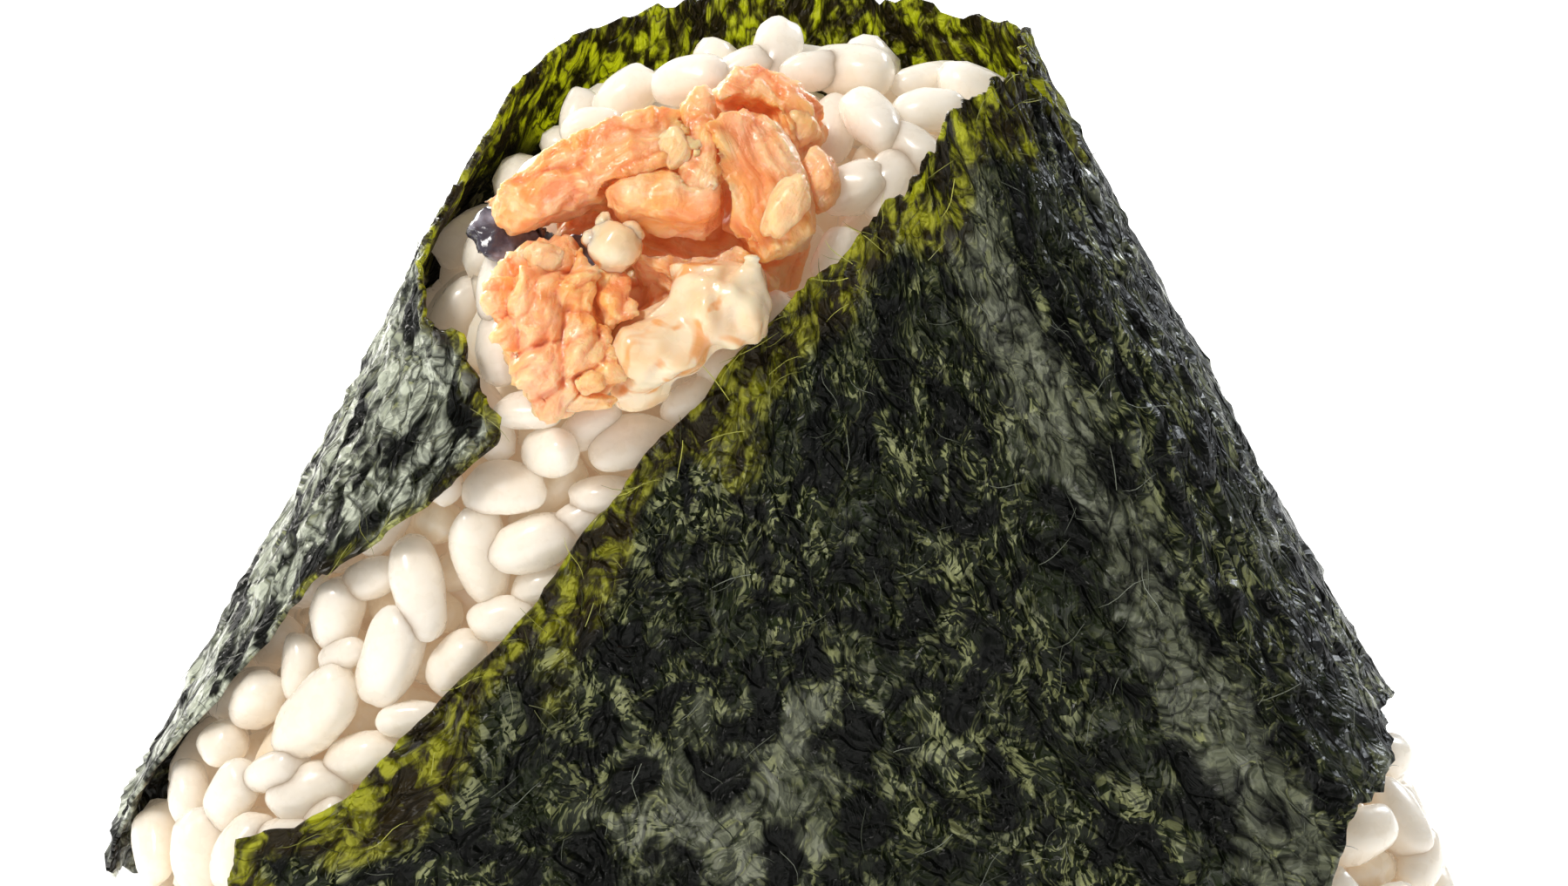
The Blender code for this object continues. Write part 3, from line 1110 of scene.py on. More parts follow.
    def edge_distance(self, flat: np.ndarray, shape: tuple[int, int]) -> np.ndarray:
        """Distance of each point of the sheet from the nearest edge.

        Args:
            flat: N by 3 flat coordinates.
            shape: columns and rows of the grid.

        Returns:
            N distances.
        """
        number = np.arange(flat.shape[0]).reshape(shape)
        rim = np.concatenate([number[:, 0], number[:, -1], number[0], number[-1]])
        tree = KDTree(len(rim))
        for k in rim:
            tree.insert(flat[k], int(k))
        tree.balance()
        return np.array([tree.find(p)[2] for p in flat])

    def folds(self, turn: np.ndarray, climb: np.ndarray) -> tuple[np.ndarray, np.ndarray]:
        """Long creases that run up the sides.

        Args:
            turn: N turns.
            climb: N climbs.

        Returns:
            The creases, and how much of them each place shows.
        """
        waver = 0.4 * self.noise.at(self.flat(turn, climb), 0.006)[:, None]
        pleats = np.stack([turn * 11.0, climb / 0.016, np.zeros_like(turn)], axis=-1)
        beside = np.exp(-(((turn - 0.88) / 0.18) ** 2)) + 0.6 * rise(turn, 2.6, 0.2)
        return self.noise.ridges(pleats + waver, 1.0), beside

    def lift(self, turn: np.ndarray, climb: np.ndarray, edge: np.ndarray) -> np.ndarray:
        """How far the sheet stands off the form, with its wrinkles.

        Args:
            turn: N turns.
            climb: N climbs.
            edge: N distances from the edge.

        Returns:
            N distances.
        """
        flat = self.flat(turn, climb)
        reach = ((turn - 3.25) / 0.22) ** 2 + ((climb - 0.060) / 0.006) ** 2
        bend = np.clip(1 - climb / self.form.base_edge_radius, 0, math.pi / 2)
        side = rise(turn, 0.35, 0.3) * fall(turn, 1.3, 0.2) + rise(turn, 2.7, 0.2)
        slant = flat @ np.array([[1.0, -0.45, 0], [0.45, 0.28, 0], [0, 0, 1]])
        across = flat @ np.array([[0.5, 0.9, 0], [-0.5, 0.6, 0], [0, 0, 1]])
        wrinkles = self.noise.ridges(slant, 0.0028) * (self.wrinkle + self.side_wrinkle * side)
        wrinkles += self.noise.ridges(across + 7, 0.0040) * self.cross_wrinkle
        swell = self.swell * self.noise.at(flat, 0.013) + self.ripple * self.noise.at(flat + 5, 0.0046)
        fine = self.fine * self.noise.rough(flat + 9, 0.0021, 2)
        curl = self.curl * np.exp(-edge / 0.0013) * (0.6 + 0.6 * self.noise.at(flat + 2, 0.009))
        folds, beside = self.folds(turn, climb)
        relief = swell + wrinkles + fine + self.crease * folds * beside
        relief = np.where(climb < 0, np.minimum(relief, 0), relief)
        return (self.gap + 0.0019 * np.exp(-reach) + 0.0004 * np.sin(2 * bend)
                + curl * (climb > 0.004) + np.maximum(relief, -0.00025))

    def strand_shapes(self) -> bpy.types.Collection:
        """Thin curved strands, one long and lying along x before they are scaled.

        Returns:
            A collection of them, outside the scene.
        """
        shapes = bpy.data.collections.new("strand_shapes")
        draw = np.random.default_rng(3)
        for number in range(self.strand_kinds):
            share = np.linspace(0, 1, 7)
            bow, hook = draw.uniform(-0.12, 0.12), draw.uniform(-0.07, 0.07)
            sway = bow * np.sin(share * math.pi) + hook * np.sin(share * 2 * math.pi)
            line = np.stack([share - 0.5, sway, 0.020 * np.sin(share * math.pi)], -1)
            girth = np.sin((share * 0.92 + 0.04) * math.pi)[:, None, None] ** 0.6
            girth = self.strand_girth * girth
            angle = np.array([0.5, 2.6, 4.7])
            ring = np.stack([0 * angle, np.cos(angle), 0.6 * np.sin(angle)], -1)
            points = (line[:, None] + girth * ring[None]).reshape(-1, 3)
            faces = [(3 * k + i, 3 * k + (i + 1) % 3, 3 * k + 3 + (i + 1) % 3, 3 * k + 3 + i)
                     for k in range(6) for i in range(3)]
            faces = [tuple(reversed(f)) for f in faces] + [(0, 1, 2), (20, 19, 18)]
            shape = new_object(f"strand_{number}", points, faces)
            bpy.context.scene.collection.objects.unlink(shape)
            shapes.objects.link(shape)
        return shapes

    def make_fibres(self, base: bpy.types.Object) -> bpy.types.Object:
        """Loose fibres that lie on the sheet and stick out at its torn edges.

        Args:
            base: the sheet's outer face.

        Returns:
            The fibres, as one piece.
        """
        g = Scatter("strand_scatter")
        entry = g.entry({"Strands": "Collection", "Density": "Float", "Length": "Float",
                         "Lift": "Float", "Seed": "Int"})
        density = g.stored("fibrous", "FLOAT") * entry["Density"]
        spread = g.node("GeometryNodeDistributePointsOnFaces", {"distribute_method": "RANDOM"}, {
            "Mesh": entry["Geometry"], "Density": density, "Seed": entry["Seed"]})
        out = g.node("ShaderNodeVectorMath", {"operation": "SCALE"}, {
            "Vector": spread["Normal"], "Scale": entry["Lift"]})["Vector"]
        raised = g.node("GeometryNodeSetPosition", None, {
            "Geometry": spread["Points"], "Offset": out})["Geometry"]
        stray = g.random((-0.10, -0.14, -0.6), (0.10, 0.06, 0.6), 4)
        sweep = g.node("ShaderNodeTexNoise", None, {"Scale": 210.0, "Detail": 1.0})["Fac"] * 14.0
        swept = g.node("ShaderNodeCombineXYZ", None, {"Z": sweep})["Vector"]
        turn = g.node("ShaderNodeVectorMath", {"operation": "ADD"}, {0: stray, 1: swept})["Vector"]
        spin = g.node("FunctionNodeEulerToRotation", None, {"Euler": turn})["Rotation"]
        facing = g.node("FunctionNodeRotateRotation", {"rotation_space": "LOCAL"}, {
            "Rotation": spread["Rotation"], "Rotate By": spin})["Rotation"]
        placed = g.node("GeometryNodeInstanceOnPoints", None, {
            "Points": raised, "Instance": g.shapes(entry["Strands"]), "Pick Instance": True,
            "Rotation": facing, "Scale": g.random(0.55, 1.35, 6) * entry["Length"]})["Instances"]
        settings = {"data_type": "FLOAT", "domain": "INSTANCE"}
        toned = g.node("GeometryNodeStoreNamedAttribute", settings, {
            "Geometry": placed, "Name": "tone", "Value": g.random(0.0, 1.0, 9)})["Geometry"]
        g.close(toned, self.finish.make_fibres("nori_fibre"))
        return g.run(linked("nori_fibres", base.data.copy()), {
            "Strands": self.strand_shapes(), "Density": self.strand_density,
            "Length": self.strand_length, "Lift": self.thickness, "Seed": 2})

    def make(self) -> list[bpy.types.Object]:
        """Builds and dresses the sheet.

        Returns:
            The sheet and its loose fibres.
        """
        turn, climb = self.grid()
        shape = turn.shape
        turn, climb = turn.ravel(), climb.ravel()
        flat = self.flat(turn, climb)
        edge = self.edge_distance(flat, shape)
        places = self.form.points(turn, climb, self.lift(turn, climb, edge))
        places[:, 2] = np.maximum(places[:, 2], self.thickness)
        number = np.arange(turn.size).reshape(shape)
        faces = np.stack([number[:-1, :-1], number[1:, :-1], number[1:, 1:], number[:-1, 1:]], -1)
        piece = new_object("nori", places, faces.reshape(-1, 4).tolist(), self.finish.make("nori"))
        # Where the painted backlight goes: the torn edges and the free-standing collar.
        standing = rise(climb, 0.0585, 0.008) * rise(turn, 1.25, 0.3)
        left = rise(turn, 2.75, 0.15)
        folds, beside = self.folds(turn, climb)
        beside = np.where(turn > 2, 0, beside)
        reach = 0.0018 + 0.0052 * np.clip(0.45 + 0.9 * self.noise.at(flat + 4, 0.009), 0, 1)
        rim = np.exp(-((edge / (reach * (1 - 0.65 * left))) ** 2)) * (1 - 0.45 * left)
        upper_rim = rise(climb - self.smooth(self.upper, turn), -0.03, 0.01)
        put_attribute(piece, "thin_and_backlit", np.clip(rim * upper_rim + 0.8 * standing, 0, 1))
        # Where the painted sheen goes: the left flap, a band down the front, a swath low on the front,
        # and the tops of the side folds.
        band = np.interp(climb, (0.016, 0.030, 0.045, 0.056, 0.063), (0.62, 0.58, 0.525, 0.46, 0.42))
        ridge = np.exp(-(((turn - band) / 0.095) ** 2)) * 0.64
        slope = (climb - 0.026 - 0.02 * turn) / 0.010
        swath = np.exp(-(((turn + 0.06) / 0.26) ** 2) - slope**2) * 0.55
        front = np.clip(ridge + swath + 0.55 * beside * folds, 0, 0.68)
        put_attribute(piece, "sheen", np.maximum(0.85 * left, front))
        ahead = np.clip(1.3 - np.abs(turn - 0.2), 0.22, 1) + np.clip((turn - 2.8) / 0.2, 0, 0.6)
        put_attribute(piece, "fibrous", np.clip(ahead * (0.55 + 0.9 * np.exp(-edge / 0.002)), 0, 2))
        layer = piece.data.uv_layers.new(name="sheet")
        corner = np.empty(len(piece.data.loops), np.int32)
        piece.data.loops.foreach_get("vertex_index", corner)
        layer.data.foreach_set("uv", flat[corner, :2].astype(np.float32).ravel())
        fibres = self.make_fibres(piece)
        solid = piece.modifiers.new("thickness", "SOLIDIFY")
        solid.thickness = self.thickness
        solid.offset = 1
        made_plain(piece)
        # The vertices of the outer face come first, then those of the inner one.
        values = np.empty(len(piece.data.vertices), np.float32)
        stored = piece.data.attributes["thin_and_backlit"].data
        stored.foreach_get("value", values)
        inner = slice(turn.size, 2 * turn.size)
        # The inner face of the left flap's top gets painted backlight too.
        values[inner] = np.maximum(values[inner], left * rise(climb, 0.040, 0.006))
        stored.foreach_set("value", values)
        return [piece, fibres]


# ---------------------------------------------------------------- rice


class Side(Enum):
    """Where a known grain lies, seen from the open side."""

    CROWN = "crown"
    BAND = "band"


KNOWN_GRAINS: dict[Side, tuple[tuple[float, ...], ...]] = {
    # Across and up square to the line of sight, turn and tilt in degrees, length, width, and
    # how far it stands proud of the rice; lengths in millimetres.  The last four of the band
    # lie at the right corner.
    Side.CROWN: (
        (-0.5, 69.3, 75, 45, 5.4, 3.6, 1.6), (4.6, 68.4, -35, 10, 6.0, 4.4, 1.4),
        (-6.4, 67.6, -20, 10, 5.4, 3.6, 1.2), (-10.6, 66.7, 10, 15, 5.0, 3.6, 0.8),
        (-13.8, 65.3, 40, 30, 4.2, 3.0, 0.6), (-12.9, 64.6, 5, 10, 4.2, 2.8, 0.9),
        (-3.0, 68.4, 15, 10, 5.0, 3.2, 0.8), (1.7, 68.2, 0, 10, 4.4, 3.0, 0.6),
        (5.9, 64.8, -62, 5, 6.2, 3.6, 1.2), (9.6, 65.5, 0, 5, 5.0, 3.2, 0.8),
        (3.4, 64.3, 80, 10, 5.0, 3.4, 0.5), (4.5, 60.2, 20, 20, 4.6, 3.6, 1.0),
        (1.2, 55.6, 75, 10, 5.0, 3.4, 0.6), (3.3, 55.8, 60, 10, 4.2, 2.8, 0.8),
        (8.4, 63.0, -50, 5, 5.4, 3.6, 0.6), (6.9, 60.6, 60, 5, 5.4, 3.6, 0.3),
        (-0.9, 51.3, 60, 10, 4.6, 3.0, 0.6), (-3.6, 48.6, 15, 10, 4.4, 3.2, 0.8),
        (-6.0, 46.0, 35, 20, 4.6, 3.4, 0.8), (-7.6, 63.2, 80, 20, 3.4, 2.3, 2.6),
        (-19.0, 54.0, 78, 5, 5.6, 2.8, 0.9), (-16.9, 55.2, 60, 10, 3.6, 2.2, 1.6),
        (-18.8, 49.6, 80, 5, 5.0, 3.4, 0.4),
    ),
    Side.BAND: (
        (-16.8, 45.5, 0, 10, 4.6, 2.9, 0.5), (-15.4, 42.8, 20, 40, 4.4, 3.5, 0.9),
        (-12.7, 44.6, 30, 10, 4.6, 3.0, 0.0), (-9.9, 43.5, 12, 5, 6.0, 3.7, 0.9),
        (-18.4, 40.4, 0, 5, 5.6, 3.8, 0.5), (-11.6, 39.8, 5, 5, 5.2, 3.2, 0.7),
        (-16.6, 36.8, 25, 5, 6.2, 3.8, 0.9), (-13.9, 38.0, 35, 5, 5.0, 3.0, 0.3),
        (-16.3, 33.8, 20, 10, 4.0, 3.0, 0.2), (-20.1, 36.0, 100, 5, 7.0, 4.2, 0.3),
        (-18.7, 31.8, 15, 10, 4.6, 3.0, 0.7), (-27.3, 34.4, 15, 5, 4.4, 2.8, 0.2),
        (-24.3, 33.9, -78, 5, 7.2, 3.8, 0.9), (-29.8, 31.9, 60, 15, 5.0, 3.9, 0.8),
        (-29.4, 29.3, 10, 10, 4.0, 2.4, 0.2), (-26.2, 29.2, 68, 5, 7.2, 4.4, 1.2),
        (-21.8, 28.7, 60, 10, 4.8, 3.6, 0.6), (-32.4, 28.4, 70, 10, 4.6, 3.0, 0.1),
        (-35.4, 26.0, 20, 15, 5.0, 3.6, 0.9), (-31.2, 25.3, 42, 5, 8.0, 4.6, 1.2),
        (-24.9, 25.1, 10, 10, 4.6, 2.9, 0.6), (-37.8, 23.3, -55, 10, 5.0, 3.7, 0.9),
        (-28.0, 22.5, 20, 10, 5.6, 3.6, 0.1), (-34.0, 21.4, 15, 10, 5.0, 3.4, 0.5),
        (-40.2, 19.9, 75, 10, 4.6, 3.0, 0.8), (-37.0, 19.7, 30, 10, 5.6, 3.8, 0.9),
        (-30.8, 18.3, 50, 10, 4.2, 2.8, 0.5), (-31.6, 20.2, 25, 5, 6.0, 4.0, 0.0),
        (-42.6, 16.2, 85, 5, 6.0, 3.8, 0.6), (-39.4, 16.0, 75, 5, 6.0, 4.0, 0.9),
        (-36.2, 16.0, 60, 5, 6.0, 4.2, 0.6), (-33.0, 17.2, 10, 5, 6.0, 3.4, 0.0),
        (40.8, 22.0, 60, 20, 5.0, 3.8, 0.3), (41.5, 18.0, -50, 10, 6.0, 4.0, 0.4),
        (38.6, 17.0, 30, 5, 6.0, 3.8, 0.1), (43.0, 15.0, 70, 5, 6.0, 3.8, 0.4),
    ),
}


@dataclass
class GrainPacking:
    """Lays grains on the model's rice and lets them settle against one another.

    A grain is three balls in a row.  In each round, balls that overlap push each other away,
    and each ball is pulled to its depth below the model's rice.
    """

    radius: float = 0.00188
    reach: float = 0.0015
    spacing: float = 0.0040
    clear: float = 0.0028
    tries: int = 12000
    rounds: int = 60
    closeness: float = 0.97
    push: float = 0.32
    middle_pull: float = 0.16
    end_pull: float = 0.10
    deep_pull: float = 0.00004
    furthest: float = 0.0006
    start_off: float = 0.2
    least_facing: float = 0.45
    seed: int = 5

    def surface(self) -> BVHTree:
        """The model's rice, to measure depths against.

        Returns:
            A search tree of its faces.
        """
        bm = merged(Slot.RICE.value)
        tree = BVHTree.FromBMesh(bm)
        bm.free()
        return tree

    def seeds(self, draw: np.random.Generator, spacing: float) -> tuple[np.ndarray, np.ndarray]:
        """Places spread over the model's rice, and the normals there.

        Args:
            draw: source of random numbers.
            spacing: least distance between two places.

        Returns:
            Places and normals, N by 3 each.
        """
        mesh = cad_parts[Slot.RICE.value].data
        mesh.calc_loop_triangles()
        points = np.array([v.co for v in mesh.vertices])
        corners = points[np.array([t.vertices for t in mesh.loop_triangles])]
        cross = np.cross(corners[:, 1] - corners[:, 0], corners[:, 2] - corners[:, 0])
        area = np.linalg.norm(cross, axis=1)
        chosen = draw.choice(len(area), self.tries, p=area / area.sum())
        a, b = draw.random((2, self.tries, 1))
        a, b = np.where(a + b > 1, 1 - a, a), np.where(a + b > 1, 1 - b, b)
        tri = corners[chosen]
        spots = tri[:, 0] + a * (tri[:, 1] - tri[:, 0]) + b * (tri[:, 2] - tri[:, 0])
        normals = cross[chosen] / area[chosen, None]
        kept: list[int] = []
        taken = np.empty((0, 3))
        for k, spot in enumerate(spots):
            if len(taken) == 0 or np.min(((taken - spot) ** 2).sum(1)) > spacing**2:
                kept.append(k)
                taken = np.vstack([taken, spot])
        return spots[kept], normals[kept]

    def known(self, tree: BVHTree) -> list[np.ndarray]:
        """Places, normals, axes and (reach, radius) of the grains that are known.

        Args:
            tree: the model's rice.

        Returns:
            Four arrays, one row for each grain.
        """
        up, away = Vector(UP), Vector(AWAY)
        rows = []
        for across, high, turn, tilt, length, width, proud in itertools.chain(*KNOWN_GRAINS.values()):
            start = Vector((across * MM, 0, 0)) + up * (high * MM) - away * self.start_off
            hit, normal, _, _ = tree.ray_cast(start, away)
            if hit is None:
                hit, normal, _, _ = tree.find_nearest(start + away * self.start_off)
            radius, turn, tilt = width / 2 * MM, math.radians(turn), math.radians(tilt)
            facing = max(-normal.dot(away), self.least_facing)
            place = hit + away * ((radius - proud * MM) / facing)
            right = Vector((1, 0, 0)).cross(normal).cross(normal).normalized() * -1
            above = normal.cross(right)
            flat = right * math.cos(turn) + above * math.sin(turn)
            axis = flat * math.cos(tilt) + normal * math.sin(tilt)
            rows.append((place, normal, axis, (length / 2 * MM - radius, radius)))
        return [np.array([tuple(row[k]) for row in rows]) for k in range(4)]

    def settle(self, covered: Callable[[np.ndarray], np.ndarray]) -> dict[str, np.ndarray]:
        """Places two layers of grains and pushes them apart until they fit.

        Args:
            covered: function that says, for N by 3 places, which lie deep under the sheet.

        Returns:
            Arrays "place", "axis", "outward", "size", "deep" and "known", a row for each grain.
        """
        draw = np.random.default_rng(self.seed)
        tree = self.surface()
        known = self.known(tree)
        ends = known[0][:, None] + np.array([-1, 0, 1])[None, :, None] * (
            known[2] * known[3][:, :1])[:, None]
        taken = KDTree(ends.shape[0] * 3)
        for k, end in enumerate(ends.reshape(-1, 3)):
            taken.insert(end, k)
        taken.balance()
        layers = [(*known[:3], np.zeros(len(known[0])))]
        for deep, spacing in ((0, self.spacing), (1, self.spacing * 1.08)):
            spots, normals = self.seeds(draw, spacing)
            inner = spots - normals * self.radius
            near = np.array([taken.find(spot)[2] for spot in inner])
            keep = ~covered(spots) & ((near > self.clear) | (deep == 1))
            spots, normals = spots[keep], normals[keep]
            axis = np.cross(normals, draw.normal(size=normals.shape))
            axis += normals * draw.normal(0, 0.3 * np.linalg.norm(axis, axis=1, keepdims=True))
            layers.append((spots - normals * self.radius * (1 + 1.2 * deep), normals,
                           axis / np.linalg.norm(axis, axis=1, keepdims=True),
                           np.full(len(spots), deep)))
        place, outward, axis, deep = (np.concatenate(parts) for parts in zip(*layers))
        scale = draw.normal(1, 0.07, (len(place), 2)).clip(0.84, 1.16)
        radius, reach = self.radius * scale[:, 0], self.reach * scale[:, 1]
        fixed = len(known[0])
        reach[:fixed], radius[:fixed] = known[3].T
        proud = np.where(deep == 0, draw.normal(0.0001, 0.0004, len(place)), 0)
        for _ in range(self.rounds):
            step = np.zeros((3, *place.shape))
            balls = place + np.array([-1, 0, 1])[:, None, None] * axis * reach[:, None]
            for one, other in itertools.product(range(3), repeat=2):
                gap = balls[one][:, None] - balls[other][None]
                far = np.sqrt((gap**2).sum(-1)) + 1e-9
                want = (radius[:, None] + radius[None]) * self.closeness
                push = np.clip(want - far, 0, None)
                np.fill_diagonal(push, 0)
                step[one] += (gap / far[..., None] * (push * self.push)[..., None]).sum(1)
            for end in range(3):
                for k, ball in enumerate(balls[end]):
                    spot, normal, _, _ = tree.find_nearest(Vector(ball))
                    normal = np.array(normal)
                    depth = -np.dot(ball - np.array(spot), normal)
                    want = radius[k] * (1 + 0.95 * deep[k]) - proud[k]
                    pull = (depth - want) * (self.middle_pull if end == 1 else self.end_pull)
                    step[end, k] += normal * (pull if deep[k] == 0 else min(pull, self.deep_pull))
                    if end == 1:
                        outward[k] = normal
            step = np.clip(step, -self.furthest, self.furthest)
            step[:, :fixed] = 0
            place = place + step.mean(0) * 1.4
            axis = axis + (step[2] - step[0]) / (2 * reach[:, None])
            axis /= np.linalg.norm(axis, axis=1, keepdims=True)
        size = np.stack([reach + radius, radius, radius], axis=1)
        return {"place": place, "axis": axis, "outward": outward, "size": size, "deep": deep,
                "known": np.arange(len(place)) < fixed}


@dataclass
class Rice:
    """The grains that show, and the pressed mass of rice behind them."""

    sheet: bpy.types.Object
    filling: list[bpy.types.Object]
    finish: RiceFinish
    packing: GrainPacking = field(default_factory=GrainPacking)
    shapes: int = 6
    under_sheet: float = 0.0045
    from_edge: float = 0.0065
    sink: float = 0.0046
    sink_less_below: float = 0.0018
    core_lump: float = 0.0034
    core_bulge: float = 0.0008
    core_voxel: float = 0.0011
    noise: Noise = field(default_factory=lambda: Noise(23))

    def grain_shape(self, number: int, around: int, along: int) -> bpy.types.Object:
        """One grain of cooked rice, 2 long and 2 wide before it is scaled.

        Args:
            number: which of the shapes.
            around: points round it.
            along: rings along it.

        Returns:
            The shape, outside the scene.
        """
        draw = np.random.default_rng(100 + number)
        bend, taper = draw.uniform(0.02, 0.14), draw.uniform(-0.16, 0.16)
        slim = draw.uniform(0.82, 0.96)
        phi = np.linspace(0, math.pi, along + 2)[1:-1, None]
        theta = np.linspace(0, 2 * math.pi, around, endpoint=False)[None]
        x = -np.cos(phi) + 0 * theta
        girth = np.sin(phi) ** 0.66 * (1 + taper * x)
        groove = 1 - 0.07 * np.exp(-((theta - 2.0) / 0.5) ** 2)
        y, z = girth * np.cos(theta) * groove, girth * np.sin(theta) * groove * slim
        z = z - bend * (x**2 - 0.4)
        rings = np.stack([x, y, z], -1).reshape(-1, 3)
        rings = rings * (1 + 0.12 * self.noise.rough(rings + 9 * number, 1.2, 2)[:, None])
        tips = np.array([[-1.0, 0, -bend * 0.6], [1.0, 0, -bend * 0.6]])
        points = np.concatenate([rings, tips])
        ring = np.arange(along * around).reshape(along, around)
        nxt = np.roll(ring, -1, axis=1)
        faces = np.stack([ring[:-1], nxt[:-1], nxt[1:], ring[1:]], -1).reshape(-1, 4).tolist()
        first, last = along * around, along * around + 1
        faces += [(first, int(b), int(a)) for a, b in zip(ring[0], nxt[0])]
        faces += [(last, int(a), int(b)) for a, b in zip(ring[-1], nxt[-1])]
        faces = [tuple(reversed(f)) for f in faces]
        made = new_object(f"grain_shape_{number}_{around}", points, faces)
        made.hide_render = True
        bpy.context.scene.collection.objects.unlink(made)
        return made

    def covered(self) -> Callable[[np.ndarray], np.ndarray]:
        """Finds the sheet and its edge, to tell what it hides.

        Returns:
            A function that says which of N by 3 places lie well under the sheet.
        """
        tree = tree_of(self.sheet)
        bm = bmesh.new()
        bm.from_mesh(self.sheet.data)
        sharp = [e for e in bm.edges if e.calc_length() < 0.0012
                 and len(e.link_faces) == 2 and e.calc_face_angle(0) > 1.2]
        edge = KDTree(len(sharp))
        for k, e in enumerate(sharp):
            edge.insert(e.verts[0].co, k)
        edge.balance()
        bm.free()

        def test(spots: np.ndarray) -> np.ndarray:
            """Says which places the sheet hides.

            Args:
                spots: N by 3 places.

            Returns:
                N answers.
            """
            hidden = []
            for spot in spots:
                near, _, _, far = tree.find_nearest(Vector(spot))
                hidden.append(far < self.under_sheet and edge.find(near)[2] > self.from_edge)
            return np.array(hidden)

        return test

    def clear_of_filling(self, place: np.ndarray) -> np.ndarray:
        """Says which grains stay, because they don't lie inside the filling.

        Args:
            place: N by 3 middles of grains.

        Returns:
            N answers.
        """
        trees = [tree_of(piece) for piece in self.filling]
        keep = np.ones(len(place), bool)
        for k, spot in enumerate(place):
            for tree in trees:
                near, normal, _, far = tree.find_nearest(Vector(spot))
                inside = (Vector(spot) - near).dot(normal) < 0
                if (inside and far > 0.0002) or far < 0.0008:
                    keep[k] = False
        return keep

    def carrier(self, name: str, grains: dict[str, np.ndarray],
                chosen: np.ndarray) -> bpy.types.Object:
        """Points that carry each chosen grain's turn, size, shape number and tone.

        Args:
            name: name of the piece.
            grains: the settled grains.
            chosen: which of them.

        Returns:
            The points, as a mesh without faces.
        """
        draw = np.random.default_rng(8)
        place = grains["place"][chosen]
        turns = []
        for axis, outward in zip(grains["axis"][chosen], grains["outward"][chosen]):
            x = Vector(axis)
            y = Vector(outward).cross(x).normalized()
            spin = Matrix.Rotation(draw.uniform(-math.pi, math.pi), 3, "X")
            turns.append((Matrix((x, y, x.cross(y))).transposed() @ spin).to_euler())
        piece = new_object(name, place, [])
        put_attribute(piece, "turn", np.array([tuple(t) for t in turns]))
        put_attribute(piece, "size", grains["size"][chosen])
        put_attribute(piece, "pick", draw.integers(0, self.shapes, len(place)).astype(float))
        # Tone: random, plus painted warm shade on the sunk second layer, and warmer towards the bottom.
        low = fall(place[:, 2], 0.030, 0.02)
        tone = 0.05 + 0.22 * draw.random(len(place)) + 0.70 * grains["deep"][chosen] + 0.15 * low
        put_attribute(piece, "tone", np.clip(tone, 0, 1))
        return piece

    def scatter(self, name: str, grains: dict[str, np.ndarray], chosen: np.ndarray,
                around: int, along: int, finish: bpy.types.Material) -> bpy.types.Object:
        """Instances grain shapes on the chosen places and realises them.

        Args:
            name: name of the piece.
            grains: the settled grains.
            chosen: which of them.
            around: points round each grain.
            along: rings along it.
            finish: the grains' material.

        Returns:
            The grains, as one piece.
        """
        shapes = bpy.data.collections.new(f"{name}_shapes")
        for number in range(self.shapes):
            shapes.objects.link(self.grain_shape(number, around, along))
        g = Scatter(f"{name}_scatter")
        entry = g.entry({"Grain shapes": "Collection", "Plumpness": "Float"})
        euler = {"Euler": g.stored("turn", "FLOAT_VECTOR")}
        turn = g.node("FunctionNodeEulerToRotation", None, euler)["Rotation"]
        size = g.node("ShaderNodeVectorMath", {"operation": "SCALE"}, {
            "Vector": g.stored("size", "FLOAT_VECTOR"), "Scale": entry["Plumpness"]})["Vector"]
        placed = g.node("GeometryNodeInstanceOnPoints", None, {
            "Points": entry["Geometry"], "Instance": g.shapes(entry["Grain shapes"]),
            "Pick Instance": True, "Instance Index": g.stored("pick", "FLOAT"),
            "Rotation": turn, "Scale": size,
        })["Instances"]
        g.close(placed, finish)
        piece = self.carrier(name, grains, chosen)
        return g.run(piece, {"Grain shapes": shapes, "Plumpness": 1.0})

    def core(self) -> bpy.types.Object:
        """The pressed mass behind the grains, sunk below the model's rice.

        Returns:
            The finished piece.
        """
        piece = grown_from("rice_core", Slot.RICE.value, self.core_voxel)
        places, normals = places_of(piece), normals_of(piece)
        near, second = self.noise.cells(places, self.core_lump)
        bulge = self.core_bulge * np.clip(second - near, 0, 0.6)
        low = fall(places[:, 2], 0.030, 0.012)
        sink = self.sink - self.sink_less_below * low - bulge
        put_places(piece, places - normals * sink[:, None])
        # The pressed mass shows only in the gaps between grains, so it gets the full painted warm
        # shade.
        put_attribute(piece, "tone", np.full(len(places), 0.8))
        piece.data.materials.append(self.finish.make("rice_core", 1.0))
        return piece

    def make(self) -> list[bpy.types.Object]:
        """Builds and dresses the rice.

        Returns:
            The grains in front, the grains elsewhere and the core.
        """
        grains = self.packing.settle(self.covered())
        keep = self.clear_of_filling(grains["place"]) | grains["known"]
        seen = grains["known"]
        finish = self.finish.make("rice_grain", 0.0)
        front = self.scatter("rice_grains_seen", grains, keep & seen, 24, 14, finish)
        other = self.scatter("rice_grains_around", grains, keep & ~seen, 10, 6, finish)
        log.info("grains: %d in front, %d elsewhere", (keep & seen).sum(), (keep & ~seen).sum())
        return [front, other, self.core()]


# ---------------------------------------------------------------- filling


